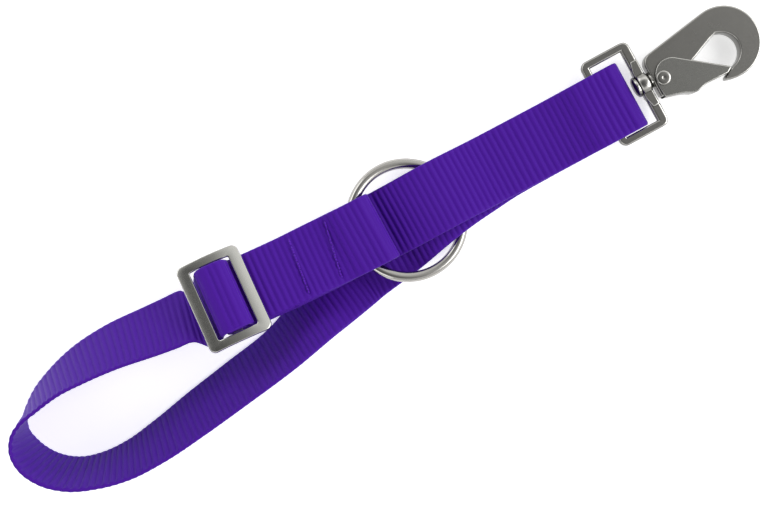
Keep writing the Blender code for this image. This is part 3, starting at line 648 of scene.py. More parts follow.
# The boss's rounded lip, as (inwards from its face, below its full radius).
lip = [(0.0, EYE_BOSS_RADIUS), (0.0, 0.0008), (0.0002, 0.0003), (0.0007, 0.0)]
boss_side = [(eye_start + inwards, EYE_BOSS_RADIUS - below) for inwards, below in lip]
boss_side += [(eye_end - inwards, EYE_BOSS_RADIUS - below) for inwards, below in reversed(lip)]
carve(eye, add_piece("eye_boss", turned(boss_side, 64), eye_place, NICKEL_CASTING), "UNION")
eye_bore = SHANK_RADIUS + SHANK_CLEARANCE
below_boss, above_boss = eye_start - 0.002, eye_end + 0.002
bore_side = [(below_boss, 0), (below_boss, eye_bore), (above_boss, eye_bore), (above_boss, 0)]
carve(eye, add_piece("eye_bore", turned(bore_side, 48), eye_place, NICKEL_CASTING))
smooth_again(eye, 40)
stand_for(eye, "snap_eye", "eye")


# ---- Webbing strap -------------------------------------------------------------------
# One length of webbing. Its end is sewn round the slider's bar; it runs out through the
# ring to the snap's eye, back under itself, round the loop, through the slider, and
# ends in the sewn fold that holds the ring.

RIB_PITCH = 0.0023
RIB_DEPTH = 0.00058
ROWS_PER_RIB = 8
SELVEDGE = 0.0009
# Radius of bend at which a rib is pulled down to half its depth.
RIB_HALVING_BEND = 0.0050
# How far a groove draws in the selvedge beside it.
SELVEDGE_WAVE = 0.00004
# How far the open fold reaches past the middle of the eye's bar.
EYE_FOLD_REACH = 0.0102
# Middle of a layer of webbing that lies against the slider's bar, from the bar's middle.
BAR_SIDE = SLIDER_CENTRE_BAR / 2 + GAP + HALF
BAR_FACE = SLIDER_THICKNESS / 2 + GAP + HALF
UNDER_SLIDER = SLIDER_DROP + SLIDER_THICKNESS / 2 + GAP + HALF
OVER_EYE_BAR = SNAP_HEIGHT + EYE_BAR / 2 + GAP + HALF
# Height that the webbing gains on the tilted ring between the ring's middle and its edge.
RING_RISE = ring_setback() * math.tan(ring_tilt())


def run_station(along, below, lean=None):
    """A point of the doubled run between the slider and the ring.

    along is the distance from the slider's middle, and below the depth under the
    slider's middle plane. The run untwists from the slider's lean to flat at the ring.
    """
    reach = SLIDER_CENTRE.x * -1 + ring_arc_x(-1)
    if lean is None:
        untwisted = (reach - along) / (reach - SLIDER_WIDTH)
        lean = SLIDER_LEAN * max(0.0, min(1.0, untwisted))
    place = slider_frame() @ Matrix.Translation((along, 0, 0)) @ Matrix.Rotation(-lean, 4, "X")
    width = (place.to_3x3() @ Vector((0, -1, 0))).normalized()
    return place @ Vector((0, 0, -below)), width


def flat_station(x_mm, y_mm, height):
    """A level point of the strap with its width straight across."""
    return Vector((x_mm * MM, y_mm * MM, height)), Vector((0, -1, 0))


def leaning_station(x_mm, y_mm, heading, lean):
    """A point of the loop, which stands on one edge.

    heading is the compass direction that the upper edge leans towards, and lean the
    angle of the webbing above the ground, both in degrees.
    """
    lean = math.radians(lean)
    heading = math.radians(heading)
    level = math.cos(lean)
    width = Vector((level * math.cos(heading), level * math.sin(heading), math.sin(lean)))
    height = STRAP_WIDTH / 2 * math.sin(lean) + HALF * abs(math.cos(lean))
    return Vector((x_mm * MM, y_mm * MM, height)), width


def half_turn(centre_x, centre_z, radius, y):
    """Stations of a fold about Y that turns from the top layer to the one below it."""
    steps = 10
    stations = []
    for k in range(steps + 1):
        angle = math.pi / 2 - math.pi * k / steps
        x = centre_x + radius * math.cos(angle)
        z = centre_z + radius * math.sin(angle)
        stations.append((Vector((x, y, z)), Vector((0, -1, 0))))
    return stations


def slider_end_stations():
    """The sewn end: it comes from its tip, goes round the centre bar and back beneath."""
    tail = UNDER_SLIDER + LAYER
    below = tail + LAYER
    tip = [(0.0212, tail), (0.0170, tail), (0.0120, tail)]
    round_bar = [
        (0.0088, tail - 0.0002),
        (BAR_SIDE + 0.0020, UNDER_SLIDER + 0.0005),
        (BAR_SIDE + 0.0006, 0.0010),
        (BAR_SIDE, -0.0004),
        (BAR_SIDE - 0.0010, -BAR_FACE + 0.0004),
        (0.0, -BAR_FACE),
        (-BAR_SIDE + 0.0010, -BAR_FACE + 0.0004),
        (-BAR_SIDE, 0.0),
        (-BAR_SIDE + 0.0010, BAR_FACE - 0.0004),
        (0.0, BAR_FACE + 0.0001),
        (BAR_SIDE - 0.0008, BAR_FACE + 0.0009),
        (BAR_SIDE + 0.0008, below - 0.0015),
        (BAR_SIDE + 0.0038, below - 0.0003),
    ]
    beneath = [(0.0120, below), (0.0170, below), (0.0260, below + 0.0002)]
    beneath += [(0.0340, below + 0.0006), (0.0410, below + 0.0016)]
    return (
        [run_station(*spot) for spot in tip]
        + [run_station(*spot, SLIDER_LEAN) for spot in round_bar]
        + [run_station(*spot) for spot in beneath]
    )


def ring_marks():
    """X in mm of the free arc, of the same arc at the webbing's edge, and of the held arc."""
    free_x = ring_arc_x(1) / MM
    return free_x, free_x - ring_setback() / MM, ring_arc_x(-1) / MM


def upper_run_stations():
    """Under the ring's held arc, over its free arc, and on to the snap's eye."""
    free = RING_WIRE + GAP + HALF + LAYER
    level = HALF + LAYER
    free_x, edge_x, held_x = ring_marks()
    spots = [
        (held_x - 0.8, 1.3, level),
        (held_x + 6.7, 1.0, level),
        (held_x + 11.2, 0.9, level + 0.0004),
        (RING_CENTRE_X / MM - 1.9, 0.8, level + 0.0024),
        (edge_x - 5.6, 0.8, free + RING_RISE - 0.0005),
        (edge_x - 0.1, 0.8, free + RING_RISE),
        (free_x + 0.5, 0.7, free + 0.0004),
        (free_x + 10.0, 0.5, level + 0.0018),
        (free_x + 18.0, 0.4, level),
        (-40.0, 0.2, level),
        (-30.0, 0.1, level + 0.0018),
        (-21.5, 0.0, OVER_EYE_BAR - 0.0002),
        (-15.7, 0.0, OVER_EYE_BAR),
        (-11.5, 0.0, OVER_EYE_BAR),
    ]
    return [flat_station(*spot) for spot in spots]


def snap_fold_stations():
    """The open fold that holds the snap's eye."""
    radius = (OVER_EYE_BAR - HALF) / 2
    return half_turn(EYE_BAR_X + EYE_FOLD_REACH - radius, HALF + radius, radius, 0.0)


def lower_run_stations():
    """Back from the snap under the upper run, over the free arc, under the held arc."""
    free = RING_WIRE + GAP + HALF
    free_x, edge_x, held_x = ring_marks()
    spots = [
        (-12.5, 0.0, HALF),
        (-30.0, 0.0, HALF),
        (-45.0, 0.0, HALF),
        (free_x + 18.0, -0.3, HALF),
        (free_x + 10.0, -1.0, HALF + 0.0016),
        (free_x + 0.5, -1.9, free + 0.0004),
        (edge_x - 0.1, -3.0, free + RING_RISE),
        (edge_x - 5.6, -4.1, free + RING_RISE - 0.0008),
        (RING_CENTRE_X / MM - 1.9, -6.2, HALF + 0.0016),
        (held_x + 11.7, -7.4, HALF + 0.0001),
        (held_x + 5.7, -8.2, HALF),
        (held_x - 0.3, -9.1, HALF),
    ]
    return [flat_station(*spot) for spot in spots]


def loop_stations():
    """The loop that stands on its edge: out along the lower strand and back."""
    spots = [
        (-125.0, -10.2, -82, 5),
        (-132.0, -11.9, -82, 16),
        (-139.2, -14.1, -82, 29),
        (-158.5, -20.3, -82, 48),
        (-180.4, -23.9, -83, 51),
        (-196.7, -26.3, -84, 53),
        (-214.0, -28.7, -88, 58),
        (-226.0, -29.3, -95, 63),
        (-236.5, -27.8, -104, 68),
        (-245.6, -24.4, -122, 71),
        (-251.9, -19.3, -142, 73),
        (-255.6, -13.2, -163, 76),
        (-256.6, -7.4, 180, 82),
        (-255.6, -2.6, -30, 89),
        (-252.4, 1.3, -45, 81),
        (-246.1, 4.6, -58, 72),
        (-236.6, 7.6, -70, 65),
        (-226.1, 9.0, -80, 57),
        (-214.0, 9.1, -88, 51),
        (-197.2, 7.3, -94, 45),
        (-190.6, 6.6, -94, 43),
        (-184.4, 6.0, -95, 41.4),
    ]
    return [leaning_station(*spot) for spot in spots]


def hanging_station(along, lean, spare):
    """On the way to the far slot, with the upper edge clear of the slider."""
    lean = math.radians(lean)
    upper_edge = STRAP_WIDTH / 2 * math.sin(lean - SLIDER_LEAN)
    return run_station(along, BAR_FACE + upper_edge + spare, lean)


def slider_weave_stations():
    """Up the far slot, over the centre bar and the sewn end, down the near slot."""
    side = BAR_SIDE + LAYER
    face = BAR_FACE + LAYER
    over_bar = [
        (-side - 0.0005, -0.0006),
        (-side + 0.0006, -face + 0.0012),
        (-side + 0.0026, -face + 0.0001),
        (0.0, -face),
        (side - 0.0026, -face + 0.0001),
        (side - 0.0006, -face + 0.0012),
        (side + 0.0005, -0.0006),
        (side + 0.0013, 0.0014),
        (side + 0.0034, UNDER_SLIDER - 0.0001),
    ]
    rising = [
        hanging_station(-0.0100, 31, 0.0006),
        hanging_station(-0.0073, 22, 0.0004),
        run_station(-side - 0.0010, 0.0018, math.radians(15)),
    ]
    beneath = [run_station(along, UNDER_SLIDER) for along in (0.0120, 0.0170, 0.0260, 0.0340)]
    beneath.append(run_station(0.0420, UNDER_SLIDER - 0.0001))
    return rising + [run_station(*spot, SLIDER_LEAN) for spot in over_bar] + beneath


def ring_fold_stations():
    """Over the held arc, round it and back beneath to the sewn tip."""
    held = ring_heights()[1]
    top = held + RING_WIRE / 2 + RING_FOLD_ROOM + HALF
    bottom = HALF + 2 * LAYER
    radius = (top - bottom) / 2
    # The wire leaves the fold at a slant, so it is longer than its diameter along X.
    slant = RING_RADIUS / (RING_RADIUS - ring_setback())
    reach = ring_setback() + RING_WIRE / 2 * slant + GAP
    # The fold bears on the wire's far side and is looser above and below it.
    centre_x = ring_arc_x(-1) + reach - (radius - HALF) * 0.85
    held_x = ring_arc_x(-1) / MM
    sewn = UNDER_SLIDER + LAYER
    beneath = [
        flat_station(held_x + 3.2, 1.1, bottom),
        flat_station(held_x - 0.8, 1.3, bottom),
        run_station(0.0400, sewn + 0.0012),
        run_station(0.0345, sewn),
        run_station(0.0280, sewn),
        run_station(0.0232, sewn),
    ]
    fold = half_turn(centre_x, (top + bottom) / 2, radius, RUN_Y)
    return [flat_station(held_x - 0.8, 1.3, top)] + fold + beneath


def webbing_route():
    return (
        slider_end_stations()
        + upper_run_stations()
        + snap_fold_stations()
        + lower_run_stations()
        + loop_stations()
        + slider_weave_stations()
        + ring_fold_stations()
    )


def smooth_route(stations, finest):
    """Points and width directions along a smooth curve through the stations."""
    tracks = [[point for point, _ in stations], [width for _, width in stations]]
    knots = [0.0]
    for a, b in zip(tracks[0], tracks[0][1:]):
        knots.append(knots[-1] + (b - a).length)

    def slope(values, i):
        if i == 0:
            return (values[1] - values[0]) / (knots[1] - knots[0])
        if i == len(values) - 1:
            return (values[-1] - values[-2]) / (knots[-1] - knots[-2])
        left = knots[i] - knots[i - 1]
        right = knots[i + 1] - knots[i]
        before = (values[i] - values[i - 1]) / left
        after = (values[i + 1] - values[i]) / right
        mean = (before * right + after * left) / (left + right)
        # A stretch between two equal heights stays level.
        least = min(abs(before.z), abs(after.z)) * 3
        mean.z = max(-least, min(least, mean.z)) if before.z * after.z > 0 else 0.0
        return mean

    slopes = [[slope(track, i) for i in range(len(track))] for track in tracks]
    made = []
    for i in range(len(knots) - 1):
        span = knots[i + 1] - knots[i]
        steps = max(2, math.ceil(span / finest))
        for k in range(steps):
            t = k / steps
            h00 = 2 * t**3 - 3 * t**2 + 1
            h10 = (t**3 - 2 * t**2 + t) * span
            h01 = 3 * t**2 - 2 * t**3
            h11 = (t**3 - t**2) * span
            values = []
            for track, bend in zip(tracks, slopes):
                value = track[i] * h00 + bend[i] * h10
                values.append(value + track[i + 1] * h01 + bend[i + 1] * h11)
            made.append((values[0], values[1].normalized()))
    made.append((tracks[0][-1], tracks[1][-1]))
    return made


def even_rows(route, spacing):
    """The route again at even steps: (point, width, along, face normal, bend)."""
    length = [0.0]
    for (a, _), (b, _) in zip(route, route[1:]):
        length.append(length[-1] + (b - a).length)
    count = round(length[-1] / spacing)
    rows, i = [], 0
    for k in range(count + 1):
        along = length[-1] * k / count
        while i < len(route) - 2 and length[i + 1] < along:
            i += 1
        share = (along - length[i]) / (length[i + 1] - length[i])
        point = route[i][0].lerp(route[i + 1][0], share)
        width = route[i][1].lerp(route[i + 1][1], share).normalized()
        rows.append((point, width, along))
    framed, near, far = [], 2, 5
    for k, (point, width, along) in enumerate(rows):
        behind, ahead = rows[max(k - near, 0)], rows[min(k + near, count)]
        tangent = (ahead[0] - behind[0]).normalized()
        framed.append([point, width, along, tangent.cross(width).normalized(), 0.0])
    for k, row in enumerate(framed):
        behind, ahead = framed[max(k - far, 0)], framed[min(k + far, count)]
        row[4] = behind[3].angle(ahead[3]) / (ahead[2] - behind[2])
    return framed


def rib_profile(turns):
    """1 on a rib's rounded crest and 0 at the bottom of the groove beside it."""
    wave = 0.5 + 0.5 * math.cos(2 * math.pi * turns)
    return wave**0.5


def webbing_section():
    """Points round the webbing with round selvedges, as (across, up) from -1 to 1."""
    columns = 16
    reach = 1 - 2 * SELVEDGE / STRAP_WIDTH
    top = [(reach * (2 * k / columns - 1), 1.0) for k in range(columns + 1)]
    edge = []
    for k in range(1, 6):
        a = math.pi / 2 * (1 - k / 3)
        edge.append((reach + (1 - reach) * math.cos(a), math.sin(a)))
    under = [(-u, -v) for u, v in top]
    return top + edge + under + [(-u, -v) for u, v in edge]


def wander(along):
    """Unevenness that the loom leaves in the spacing of the ribs, as a share of a pitch."""
    return 0.12 * math.sin(along * 61.0) + 0.10 * math.sin(along * 173.0 + 1.0)


def slant(along, u):
    """How far a rib strays from square across the webbing, as a share of a pitch."""
    return 0.05 * math.sin(along * 47.0 + u * 1.3) * u


def bend_shade_share(bend):
    """Share of painted shade, from 0 on a straight run to 1 where the webbing turns sharply, given
    its bend.
    """
    share = max(0.0, min(1.0, (bend - 50) / 160))
    return share * share * (3 - 2 * share)


def ribbed_strap():
    """Mesh of the strap with a real rib every pitch, and a map of ribs along and across."""
    route = smooth_route(webbing_route(), finest=0.0002)
    rows = even_rows(route, spacing=RIB_PITCH / ROWS_PER_RIB)
    section = webbing_section()
    rings, marks = [], []
    for point, width, along, normal, bend in rows:
        # Ribs are pulled flat where the webbing turns sharply round a bar or a fold.
        depth = RIB_DEPTH / (1 + (bend * RIB_HALVING_BEND) ** 2)
        mark = along / RIB_PITCH + wander(along)
        ring = []
        for u, v in section:
            spot = mark + slant(along, u)
            groove = 1 - rib_profile(spot if v > 0 else spot + 0.5)
            # The ribs fade out towards the selvedges and round them.
            firm = min(1.0, 0.05 + (1 - abs(u)) * 8) * min(1.0, abs(v) * 1.2)
            sunk = depth * firm * groove
            across = u * (STRAP_WIDTH / 2 - SELVEDGE_WAVE * groove * (1 - abs(v)))
            ring.append(point + width * across + normal * (v * HALF - math.copysign(sunk, v)))
        rings.append(ring)
        marks.append(mark)
    bm = skin(rings)
    mapping = bm.loops.layers.uv.new("weave")
    bend_and_edge_shade = bm.verts.layers.float.new("bend_and_edge_shade")
    for vert in bm.verts:
        row, column = divmod(vert.index, len(section))
        at_selvedge = abs(section[column][0]) > 0.96
        # Painted shade where the webbing bends sharply, and a fixed painted shade along the
        # selvedges.
        vert[bend_and_edge_shade] = max(bend_shade_share(rows[row][4]), 0.6 if at_selvedge else 0.0)
    for face in bm.faces:
        for corner in face.loops:
            row, column = divmod(corner.vert.index, len(section))
            u, v = section[column]
            turn = marks[row] if v > 0 else marks[row] + 0.5
            corner[mapping].uv = (turn, u * 0.5 + 0.5)
    return bm, rows


webbing_mesh, strap_rows = ribbed_strap()
webbing = add_piece("ribbed_webbing", webbing_mesh, Matrix.Identity(4), VIOLET_WEBBING, 80)
stand_for(webbing, "webbing", "strap")


# ---- Stitching -----------------------------------------------------------------------
# Bonded nylon thread in the webbing's own colour. Two rows close the webbing round the
# slider's bar on the underside, and two rows close the fold that holds the ring.

THREAD_RADIUS = 0.00035
STITCH_LENGTH = 0.0030
STITCH_SPACE = 0.0002
STITCH_LIFT = 0.0006
SEAM_MARGIN = 0.0020
THREAD_SUNK = 0.0001


def seam_place(stations, x, skew):
    """Where a row of stitches crosses a run of stations, given the distance along X."""
    for (start, width), (end, _) in zip(stations, stations[1:]):
        if min(start.x, end.x) <= x <= max(start.x, end.x):
            break
    share = (x - start.x) / (end.x - start.x)
    point = start + (end - start) * share
    forward = (end - start).normalized()
    if forward.x < 0:
        forward = -forward
    left = -width
    up = forward.cross(left).normalized()
    axes = Matrix((forward, left, up)).transposed().to_4x4()
    return Matrix.Translation(point) @ axes @ Matrix.Rotation(math.radians(skew), 4, "Z")


def sides_along(points):
    """Two side directions at each point of a line, turned as little as possible."""
    sides, side = [], None
    for i, point in enumerate(points):
        behind, ahead = points[max(i - 1, 0)], points[min(i + 1, len(points) - 1)]
        tangent = (ahead - behind).normalized()
        if side is None:
            side = tangent.orthogonal().normalized()
        side = (side - tangent * side.dot(tangent)).normalized()
        sides.append((side, tangent.cross(side)))
    return sides


def tube(points, radius, sides):
    """A round tube along points."""
    circle = [2 * math.pi * k / sides for k in range(sides)]
    rings = []
    for point, (side, up) in zip(points, sides_along(points)):
        rings.append([point + (side * math.cos(a) + up * math.sin(a)) * radius for a in circle])
    return skin(rings)


def stitch(place, start, end):
    """One stitch: three strands twisted together, pulled down into a hole at each end."""
    strands = []
    steps, twist = 14, 1.4
    off = THREAD_RADIUS * 0.46
    for strand in range(3):
        points = []
        for k in range(steps + 1):
            share = k / steps
            arch = math.sin(math.pi * share) ** 0.5
            turn = 2 * math.pi * (strand / 3 + twist * share)
            along = start + (end - start) * share
            height = STITCH_LIFT * (arch * 1.25 - 0.55) + off * math.sin(turn)
            points.append(place @ Vector((off * math.cos(turn), along, height)))
        strands.append(tube(points, THREAD_RADIUS * 0.52, sides=8))
    return joined(strands)


def seam_row(name, place, side, node):
    """A row of stitches across the webbing, on its upper (1) or lower (-1) face."""
    span = STRAP_WIDTH - 2 * SEAM_MARGIN
    count = round(span / STITCH_LENGTH)
    surface = place @ Matrix.Translation((0, 0, side * (HALF - THREAD_SUNK)))
    surface = surface @ Matrix.Scale(side, 4, (0, 0, 1))
    made = []
    for k in range(count):
        start = -span / 2 + span * k / count
        made.append(stitch(surface, start + STITCH_SPACE, start + span / count - STITCH_SPACE))
    row = joined(made)
    mapping = row.loops.layers.uv.new("weave")
    for face in row.faces:
        for corner in face.loops:
            spot = corner.vert.co
            corner[mapping].uv = (spot.y * 900 + spot.x * 300, spot.z * 2000)
    piece = add_piece(name, row, Matrix.Identity(4), VIOLET_THREAD, 80)
    stand_for(piece, node, "strap")


upper_face = slider_weave_stations()[-5:] + ring_fold_stations()[:1]
seam_row("ring_stitches_outer", seam_place(upper_face, -0.1400, -4), 1, "ring_seam_outer")
seam_row("ring_stitches_inner", seam_place(upper_face, -0.1262, -8), 1, "ring_seam_inner")
lower_face = slider_end_stations()[-5:]
seam_row("slider_stitches_outer", seam_place(lower_face, -0.1496, 0), -1, "slider_seam_outer")
seam_row("slider_stitches_inner", seam_place(lower_face, -0.1540, 0), -1, "slider_seam_inner")


# ---- Snap hook -----------------------------------------------------------------------
# The cast body of the snap, nickel plated and tumbled, with broad rolled edges. Its
# shank passes through the eye's boss and is peened over inside the eye.

HOOK_BEVEL = 0.0010
HOOK_TIP_RADIUS = 0.01335
HOOK_HOLE_RADIUS = 0.0067
HUB_RADIUS = 0.0062
SHANK_HEAD_RADIUS = 0.0039
SHANK_HEAD_THICKNESS = 0.0016
COLLAR_RADIUS = 0.0030
RIVET_RADIUS = 0.0015
RIVET_PLAY = 0.0002
SPRING_POCKET_RADIUS = 0.0034
SPRING_POCKET_HALF_WIDTH = 0.0014
# The gate's hinge, in the plane of the hook.
PIVOT = Vector((0.0069, -0.0016, 0.0))
snap_place = Matrix.Translation((0, EYE_CENTRE_Y, SNAP_HEIGHT))


def arc(centre, radius, start, end, steps):
    """Points of an arc, angles in degrees."""
    angles = [math.radians(start + (end - start) * k / steps) for k in range(steps + 1)]
    return [(centre[0] + radius * math.cos(a), centre[1] + radius * math.sin(a)) for a in angles]


def about_pivot(radius, start, end, steps):
    return arc((PIVOT.x, PIVOT.y), radius, start, end, steps)


def in_metres(points_mm):
    return [(x * MM, y * MM) for x, y in points_mm]


def snap_piece(name, bm, finish=NICKEL_CASTING):
    """A piece, or a shape to carve with, that stands where the snap lies."""
    return add_piece(name, bm, snap_place, finish)


def hook_outline():
    """Outline of the hook's body, round from the heel over the back to the nose."""
    tip = (0.0324, -0.0008)
    hole = (0.0302, -0.0031)
    heel = in_metres([(3.4, -7.2), (3.4, 4.4)])
    shoulder = arc((0.0074, 0.0047), 0.0040, 175, 105, 8)
    outside = arc(tip, HOOK_TIP_RADIUS, 98, -113, 60)
    nose = in_metres([(26.7, -12.6), (27.3, -11.9)])
    inside = arc(hole, HOOK_HOLE_RADIUS, -80, 58, 30)
    throat = in_metres([(31.3, 3.6), (28.4, 2.7), (22.0, 0.0), (18.4, -1.5), (14.6, -2.2)])
    hub = about_pivot(HUB_RADIUS, -14, -104, 16)
    return heel + shoulder + outside + nose + inside + throat + hub


def rivet_bore():
    """A rod through the whole snap, a little wider than the rivet."""
    return prism(about_pivot(RIVET_RADIUS + RIVET_PLAY, 0, 360, 20)[:-1], -0.006, 0.006)


hook_half = HOOK_THICKNESS / 2
hook = snap_piece("hook_body", prism(hook_outline(), -hook_half, hook_half))
soften(hook, HOOK_BEVEL, segments=5)
eye_face = EYE_BAR_X + EYE_BAR / 2 + EYE_INSIDE_LENGTH
head = eye_face - GAP - BOSS_PROUD
head_end = head - SHANK_HEAD_THICKNESS
collar = eye_face + EYE_SWIVEL_BAR + GAP + BOSS_PROUD
inside_hub = 0.0044
shank_side = [
    (head_end, 0),
    (head_end, SHANK_HEAD_RADIUS * 0.45),
    (head_end + SHANK_HEAD_THICKNESS * 0.15, SHANK_HEAD_RADIUS * 0.75),
    (head_end + SHANK_HEAD_THICKNESS * 0.45, SHANK_HEAD_RADIUS * 0.96),
    (head_end + SHANK_HEAD_THICKNESS * 0.7, SHANK_HEAD_RADIUS),
    (head, SHANK_HEAD_RADIUS * 0.97),
    (head, SHANK_RADIUS),
    (collar, SHANK_RADIUS),
    (collar, COLLAR_RADIUS - 0.0003),
    (collar + 0.0003, COLLAR_RADIUS),
    (inside_hub, COLLAR_RADIUS - 0.0002),
    (inside_hub, 0),
]
carve(hook, snap_piece("shank", turned(shank_side, 48)), "UNION")
carve(hook, snap_piece("rivet_hole", rivet_bore()))
pocket = [(6.2, 3.2), (8.0, -0.2), (8.0, -9.0), (-2.0, -9.0)]
pocket = [(PIVOT.x + x, PIVOT.y + y) for x, y in in_metres(pocket)]
pocket = about_pivot(SPRING_POCKET_RADIUS, 200, 70, 16) + pocket
pocket = prism(pocket, -SPRING_POCKET_HALF_WIDTH, SPRING_POCKET_HALF_WIDTH)
carve(hook, snap_piece("spring_pocket", pocket))
smooth_again(hook, 30)
stand_for(hook, "snap_hook", "hook")


# ---- Gate ----------------------------------------------------------------------------
# The trigger gate, folded from nickel plated strip into a channel that straddles the
# hook. Its cheeks turn on the rivet and its tip closes against the hook's nose.


def gate_outline():
    """Outline of the gate's cheeks: round over the rivet, then straight to the tip."""
    heel = [(4.3, -7.9), (4.05, -5.9), (4.0, -4.0), (4.05, -2.3), (4.3, -0.8)]
    crown = [(4.9, 0.9), (5.9, 2.3), (7.0, 3.25), (8.3, 3.9), (9.5, 4.2), (10.7, 4.2)]
    tip = [(12.1, 4.0), (13.4, 3.5), (29.9, -9.2), (30.1, -10.0), (28.2, -11.1)]
    thumb = [(22.4, -10.9), (19.6, -10.9), (17.8, -11.2), (16.6, -11.65), (15.7, -11.8)]
    back = [(14.8, -11.7), (13.8, -11.3), (12.6, -10.6), (11.4, -10.0), (9.9, -9.5), (8.4, -9.1)]
    return in_metres(heel + crown + tip + thumb + back)


def gate_hollow():
    """Outline of the space between the cheeks, open towards the hook."""
    spine = [(2.0, -7.9), (8.5, -8.2), (11.7, -9.1), (14.1, -10.3), (15.7, -10.8)]
    spine += [(17.6, -10.3), (22.4, -10.0), (27.6, -10.2), (31.5, -8.6)]
    mouth = [(31.5, 7.0), (2.0, 7.0)]
    return in_metres(spine + mouth)


# This finish carries a painted highlight on its rolled edges and painted shade on its steep sides.
GATE_STRIP = plated(
    "gate_strip",
    (0.37, 0.37, 0.35),
    smoothness=0.17,
    cloudiness=0.26,
    scratches=0.5,
    relief=0.00002,
    edge_highlight_and_side_shade=0.7,
)
gate_inner = HOOK_THICKNESS / 2 + GAP
gate_outer = gate_inner + GATE_WALL
gate = snap_piece("gate_channel", prism(gate_outline(), -gate_outer, gate_outer), GATE_STRIP)
soften(gate, width=0.00045, segments=4)
hollow = prism(gate_hollow(), -gate_inner, gate_inner)
carve(gate, snap_piece("gate_hollow", hollow, GATE_STRIP))
carve(gate, snap_piece("gate_hole", rivet_bore(), GATE_STRIP))
smooth_again(gate, 30)
stand_for(gate, "gate", "gate")


# ---- Rivet ---------------------------------------------------------------------------
# A steel rivet with low domed heads, the hinge of the gate. It was set with a hollow
# punch, which leaves a shallow dimple in each head.

RIVET_HEAD_RADIUS = 0.0026


def rivet_body():
    """The rivet turned about its axis: a shank between two domed, dimpled heads."""
    seat = HOOK_THICKNESS / 2 + GATE_WALL + 2 * GAP
    top = seat + RIVET_HEAD_THICKNESS
    # The dome, as (below its top, share of the head's radius).
    dome = [(0.00016, 0), (0.00014, 0.16), (0.00002, 0.27), (0, 0.32), (0.00003, 0.66)]
    dome += [(0.00009, 0.84), (0.00022, 0.95)]
    side = [(-top + below, RIVET_HEAD_RADIUS * share) for below, share in dome]
    side += [(-seat - 0.0002, RIVET_HEAD_RADIUS), (-seat, RIVET_HEAD_RADIUS), (-seat, RIVET_RADIUS)]
    return turned(side + [(-x, radius) for x, radius in reversed(side)], 48)


upright = Matrix.Translation(PIVOT) @ Matrix.Rotation(math.pi / 2, 4, "Y")
rivet = add_piece("gate_rivet_domed", rivet_body(), snap_place @ upright, NICKEL_CASTING)
stand_for(rivet, "gate_rivet", "hook")


# ---- Gate spring ---------------------------------------------------------------------
# A torsion spring of bare wire round the rivet. One leg bears on the hook and the other
# reaches towards the gate's back, and it holds the gate shut.

SPRING_WIRE = 0.0006
SPRING_TURNS = 2.5


def spring_line():
    """The wire's middle line: one leg, the coil about the rivet, and the other leg."""
    radius = RIVET_RADIUS + 0.0004 + SPRING_WIRE / 2
    pitch = SPRING_WIRE + 0.0002
    half_height = pitch * SPRING_TURNS / 2
    per_turn = 36
    points = [PIVOT + Vector((0.0052, radius, -half_height))]
    for k in range(int(per_turn * SPRING_TURNS) + 1):
        a = math.pi / 2 + 2 * math.pi * k / per_turn
        z = pitch * k / per_turn - half_height
        points.append(PIVOT + Vector((radius * math.cos(a), radius * math.sin(a), z)))
    points.append(PIVOT + Vector((0.0043, -0.0040, half_height)))
    return points


SPRING_STEEL = plated(
    "spring_steel",
    (0.36, 0.36, 0.38),
    smoothness=0.30,
    cloudiness=0.30,
    scratches=0.4,
    relief=0.00001,
)
coil = tube(spring_line(), SPRING_WIRE / 2, sides=12)
spring = add_piece("gate_torsion_spring", coil, snap_place, SPRING_STEEL, 60)
stand_for(spring, "gate_spring", "hook")


# ---- Table, light and camera ---------------------------------------------------------
# The strap lies on a plain pale table top that glows softly. Three studio lamps
# stand round the table, and the camera looks straight down from above.

CAMERA_HEIGHT = 0.5
CAMERA_TURN = -28.5
VIEW_WIDTH = 0.27737
VIEW_CENTRE = (-0.00585, -0.00091)

table_finish = bpy.data.materials.new("pale_table")
table_finish.use_nodes = True
table_shader = table_finish.node_tree.nodes["Principled BSDF"]
table_shader.inputs["Base Color"].default_value = (0.90, 0.90, 0.90, 1.0)
table_shader.inputs["Roughness"].default_value = 0.9
table_shader.inputs["Specular IOR Level"].default_value = 0.1
table_shader.inputs["Emission Color"].default_value = (1.0, 1.0, 1.0, 1.0)
table_shader.inputs["Emission Strength"].default_value = 0.58
bpy.ops.mesh.primitive_plane_add(size=8.0, location=(0, 0, -0.0001))
table = bpy.context.object
table.name = "table_top"
table.data.materials.append(table_finish)

world = bpy.data.worlds.new("studio")
world.use_nodes = True
bpy.context.scene.world = world
studio = world.node_tree
backdrop = studio.nodes["Background"]
backdrop.inputs["Color"].default_value = (1.0, 0.995, 0.985, 1.0)
heading = studio.nodes.new("ShaderNodeSeparateXYZ")
studio.links.new(studio.nodes.new("ShaderNodeTexCoord").outputs["Generated"], heading.inputs[0])
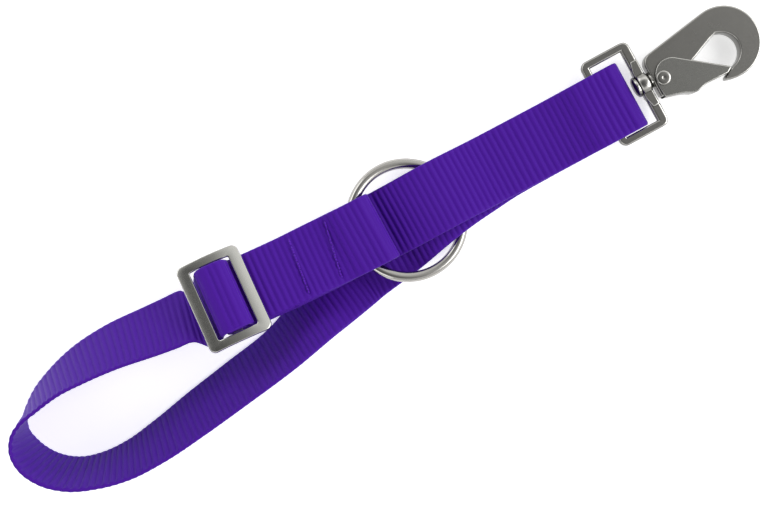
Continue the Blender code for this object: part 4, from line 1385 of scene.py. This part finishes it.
# Soft boxes ring the table low down; higher up the left is dim and the right is bright.
overhead = studio.nodes.new("ShaderNodeValToRGB")
stops = [(0.22, 0.06), (0.38, 0.13), (0.50, 0.24), (0.60, 0.30), (0.78, 0.95)]
known = overhead.color_ramp.elements
for spot, (across, bright) in enumerate(stops):
    stop = known[spot] if spot < 2 else known.new(across)
    stop.position = across
    stop.color = (bright, bright, bright, 1.0)
across_room = math_node(studio, "MULTIPLY_ADD", heading.outputs["X"], 0.5, 0.5)
studio.links.new(across_room, overhead.inputs[0])
around = math_node(studio, "MULTIPLY_ADD", heading.outputs["X"], 0.22, 0.92)
high = math_node(studio, "MULTIPLY_ADD", heading.outputs["Z"], 7.0, -4.6, clamp=True)
low = math_node(studio, "SUBTRACT", 1.0, high)
boxes = math_node(studio, "MULTIPLY", low, around)
strength = math_node(studio, "MULTIPLY_ADD", overhead.outputs["Color"], high, boxes)
studio.links.new(strength, backdrop.inputs["Strength"])

# Direction round the table in degrees, height above it in degrees, distance, width,
# height and strength of each lamp.
LAMPS = [
    ("lamp_key", -24.0, 37.0, 1.4, 1.2, 0.7, 8.6),
    ("lamp_side", 118.0, 26.0, 1.4, 1.2, 0.5, 4.2),
    ("lamp_fill", 215.0, 28.0, 1.5, 1.2, 0.5, 3.3),
]
for name, round_table, above, distance, width, height, watts in LAMPS:
    lamp = bpy.data.lights.new(name, "AREA")
    lamp.shape = "RECTANGLE"
    lamp.size = width
    lamp.size_y = height
    lamp.energy = watts
    light = bpy.data.objects.new(name, lamp)
    bpy.context.scene.collection.objects.link(light)
    a, e = math.radians(round_table), math.radians(above)
    towards = Vector((math.cos(a) * math.cos(e), math.sin(a) * math.cos(e), math.sin(e)))
    light.location = towards * distance
    light.rotation_euler = (-towards).to_track_quat("-Z", "Y").to_euler()

camera_data = bpy.data.cameras.new("camera")
camera_data.lens = camera_data.sensor_width * CAMERA_HEIGHT / VIEW_WIDTH
camera_data.clip_start = 0.01
camera = bpy.data.objects.new("camera", camera_data)
bpy.context.scene.collection.objects.link(camera)
looking_down = Matrix.Translation((*VIEW_CENTRE, CAMERA_HEIGHT))
camera.matrix_world = looking_down @ Matrix.Rotation(math.radians(CAMERA_TURN), 4, "Z")
bpy.context.scene.camera = camera
bpy.context.scene.view_settings.view_transform = "Standard"
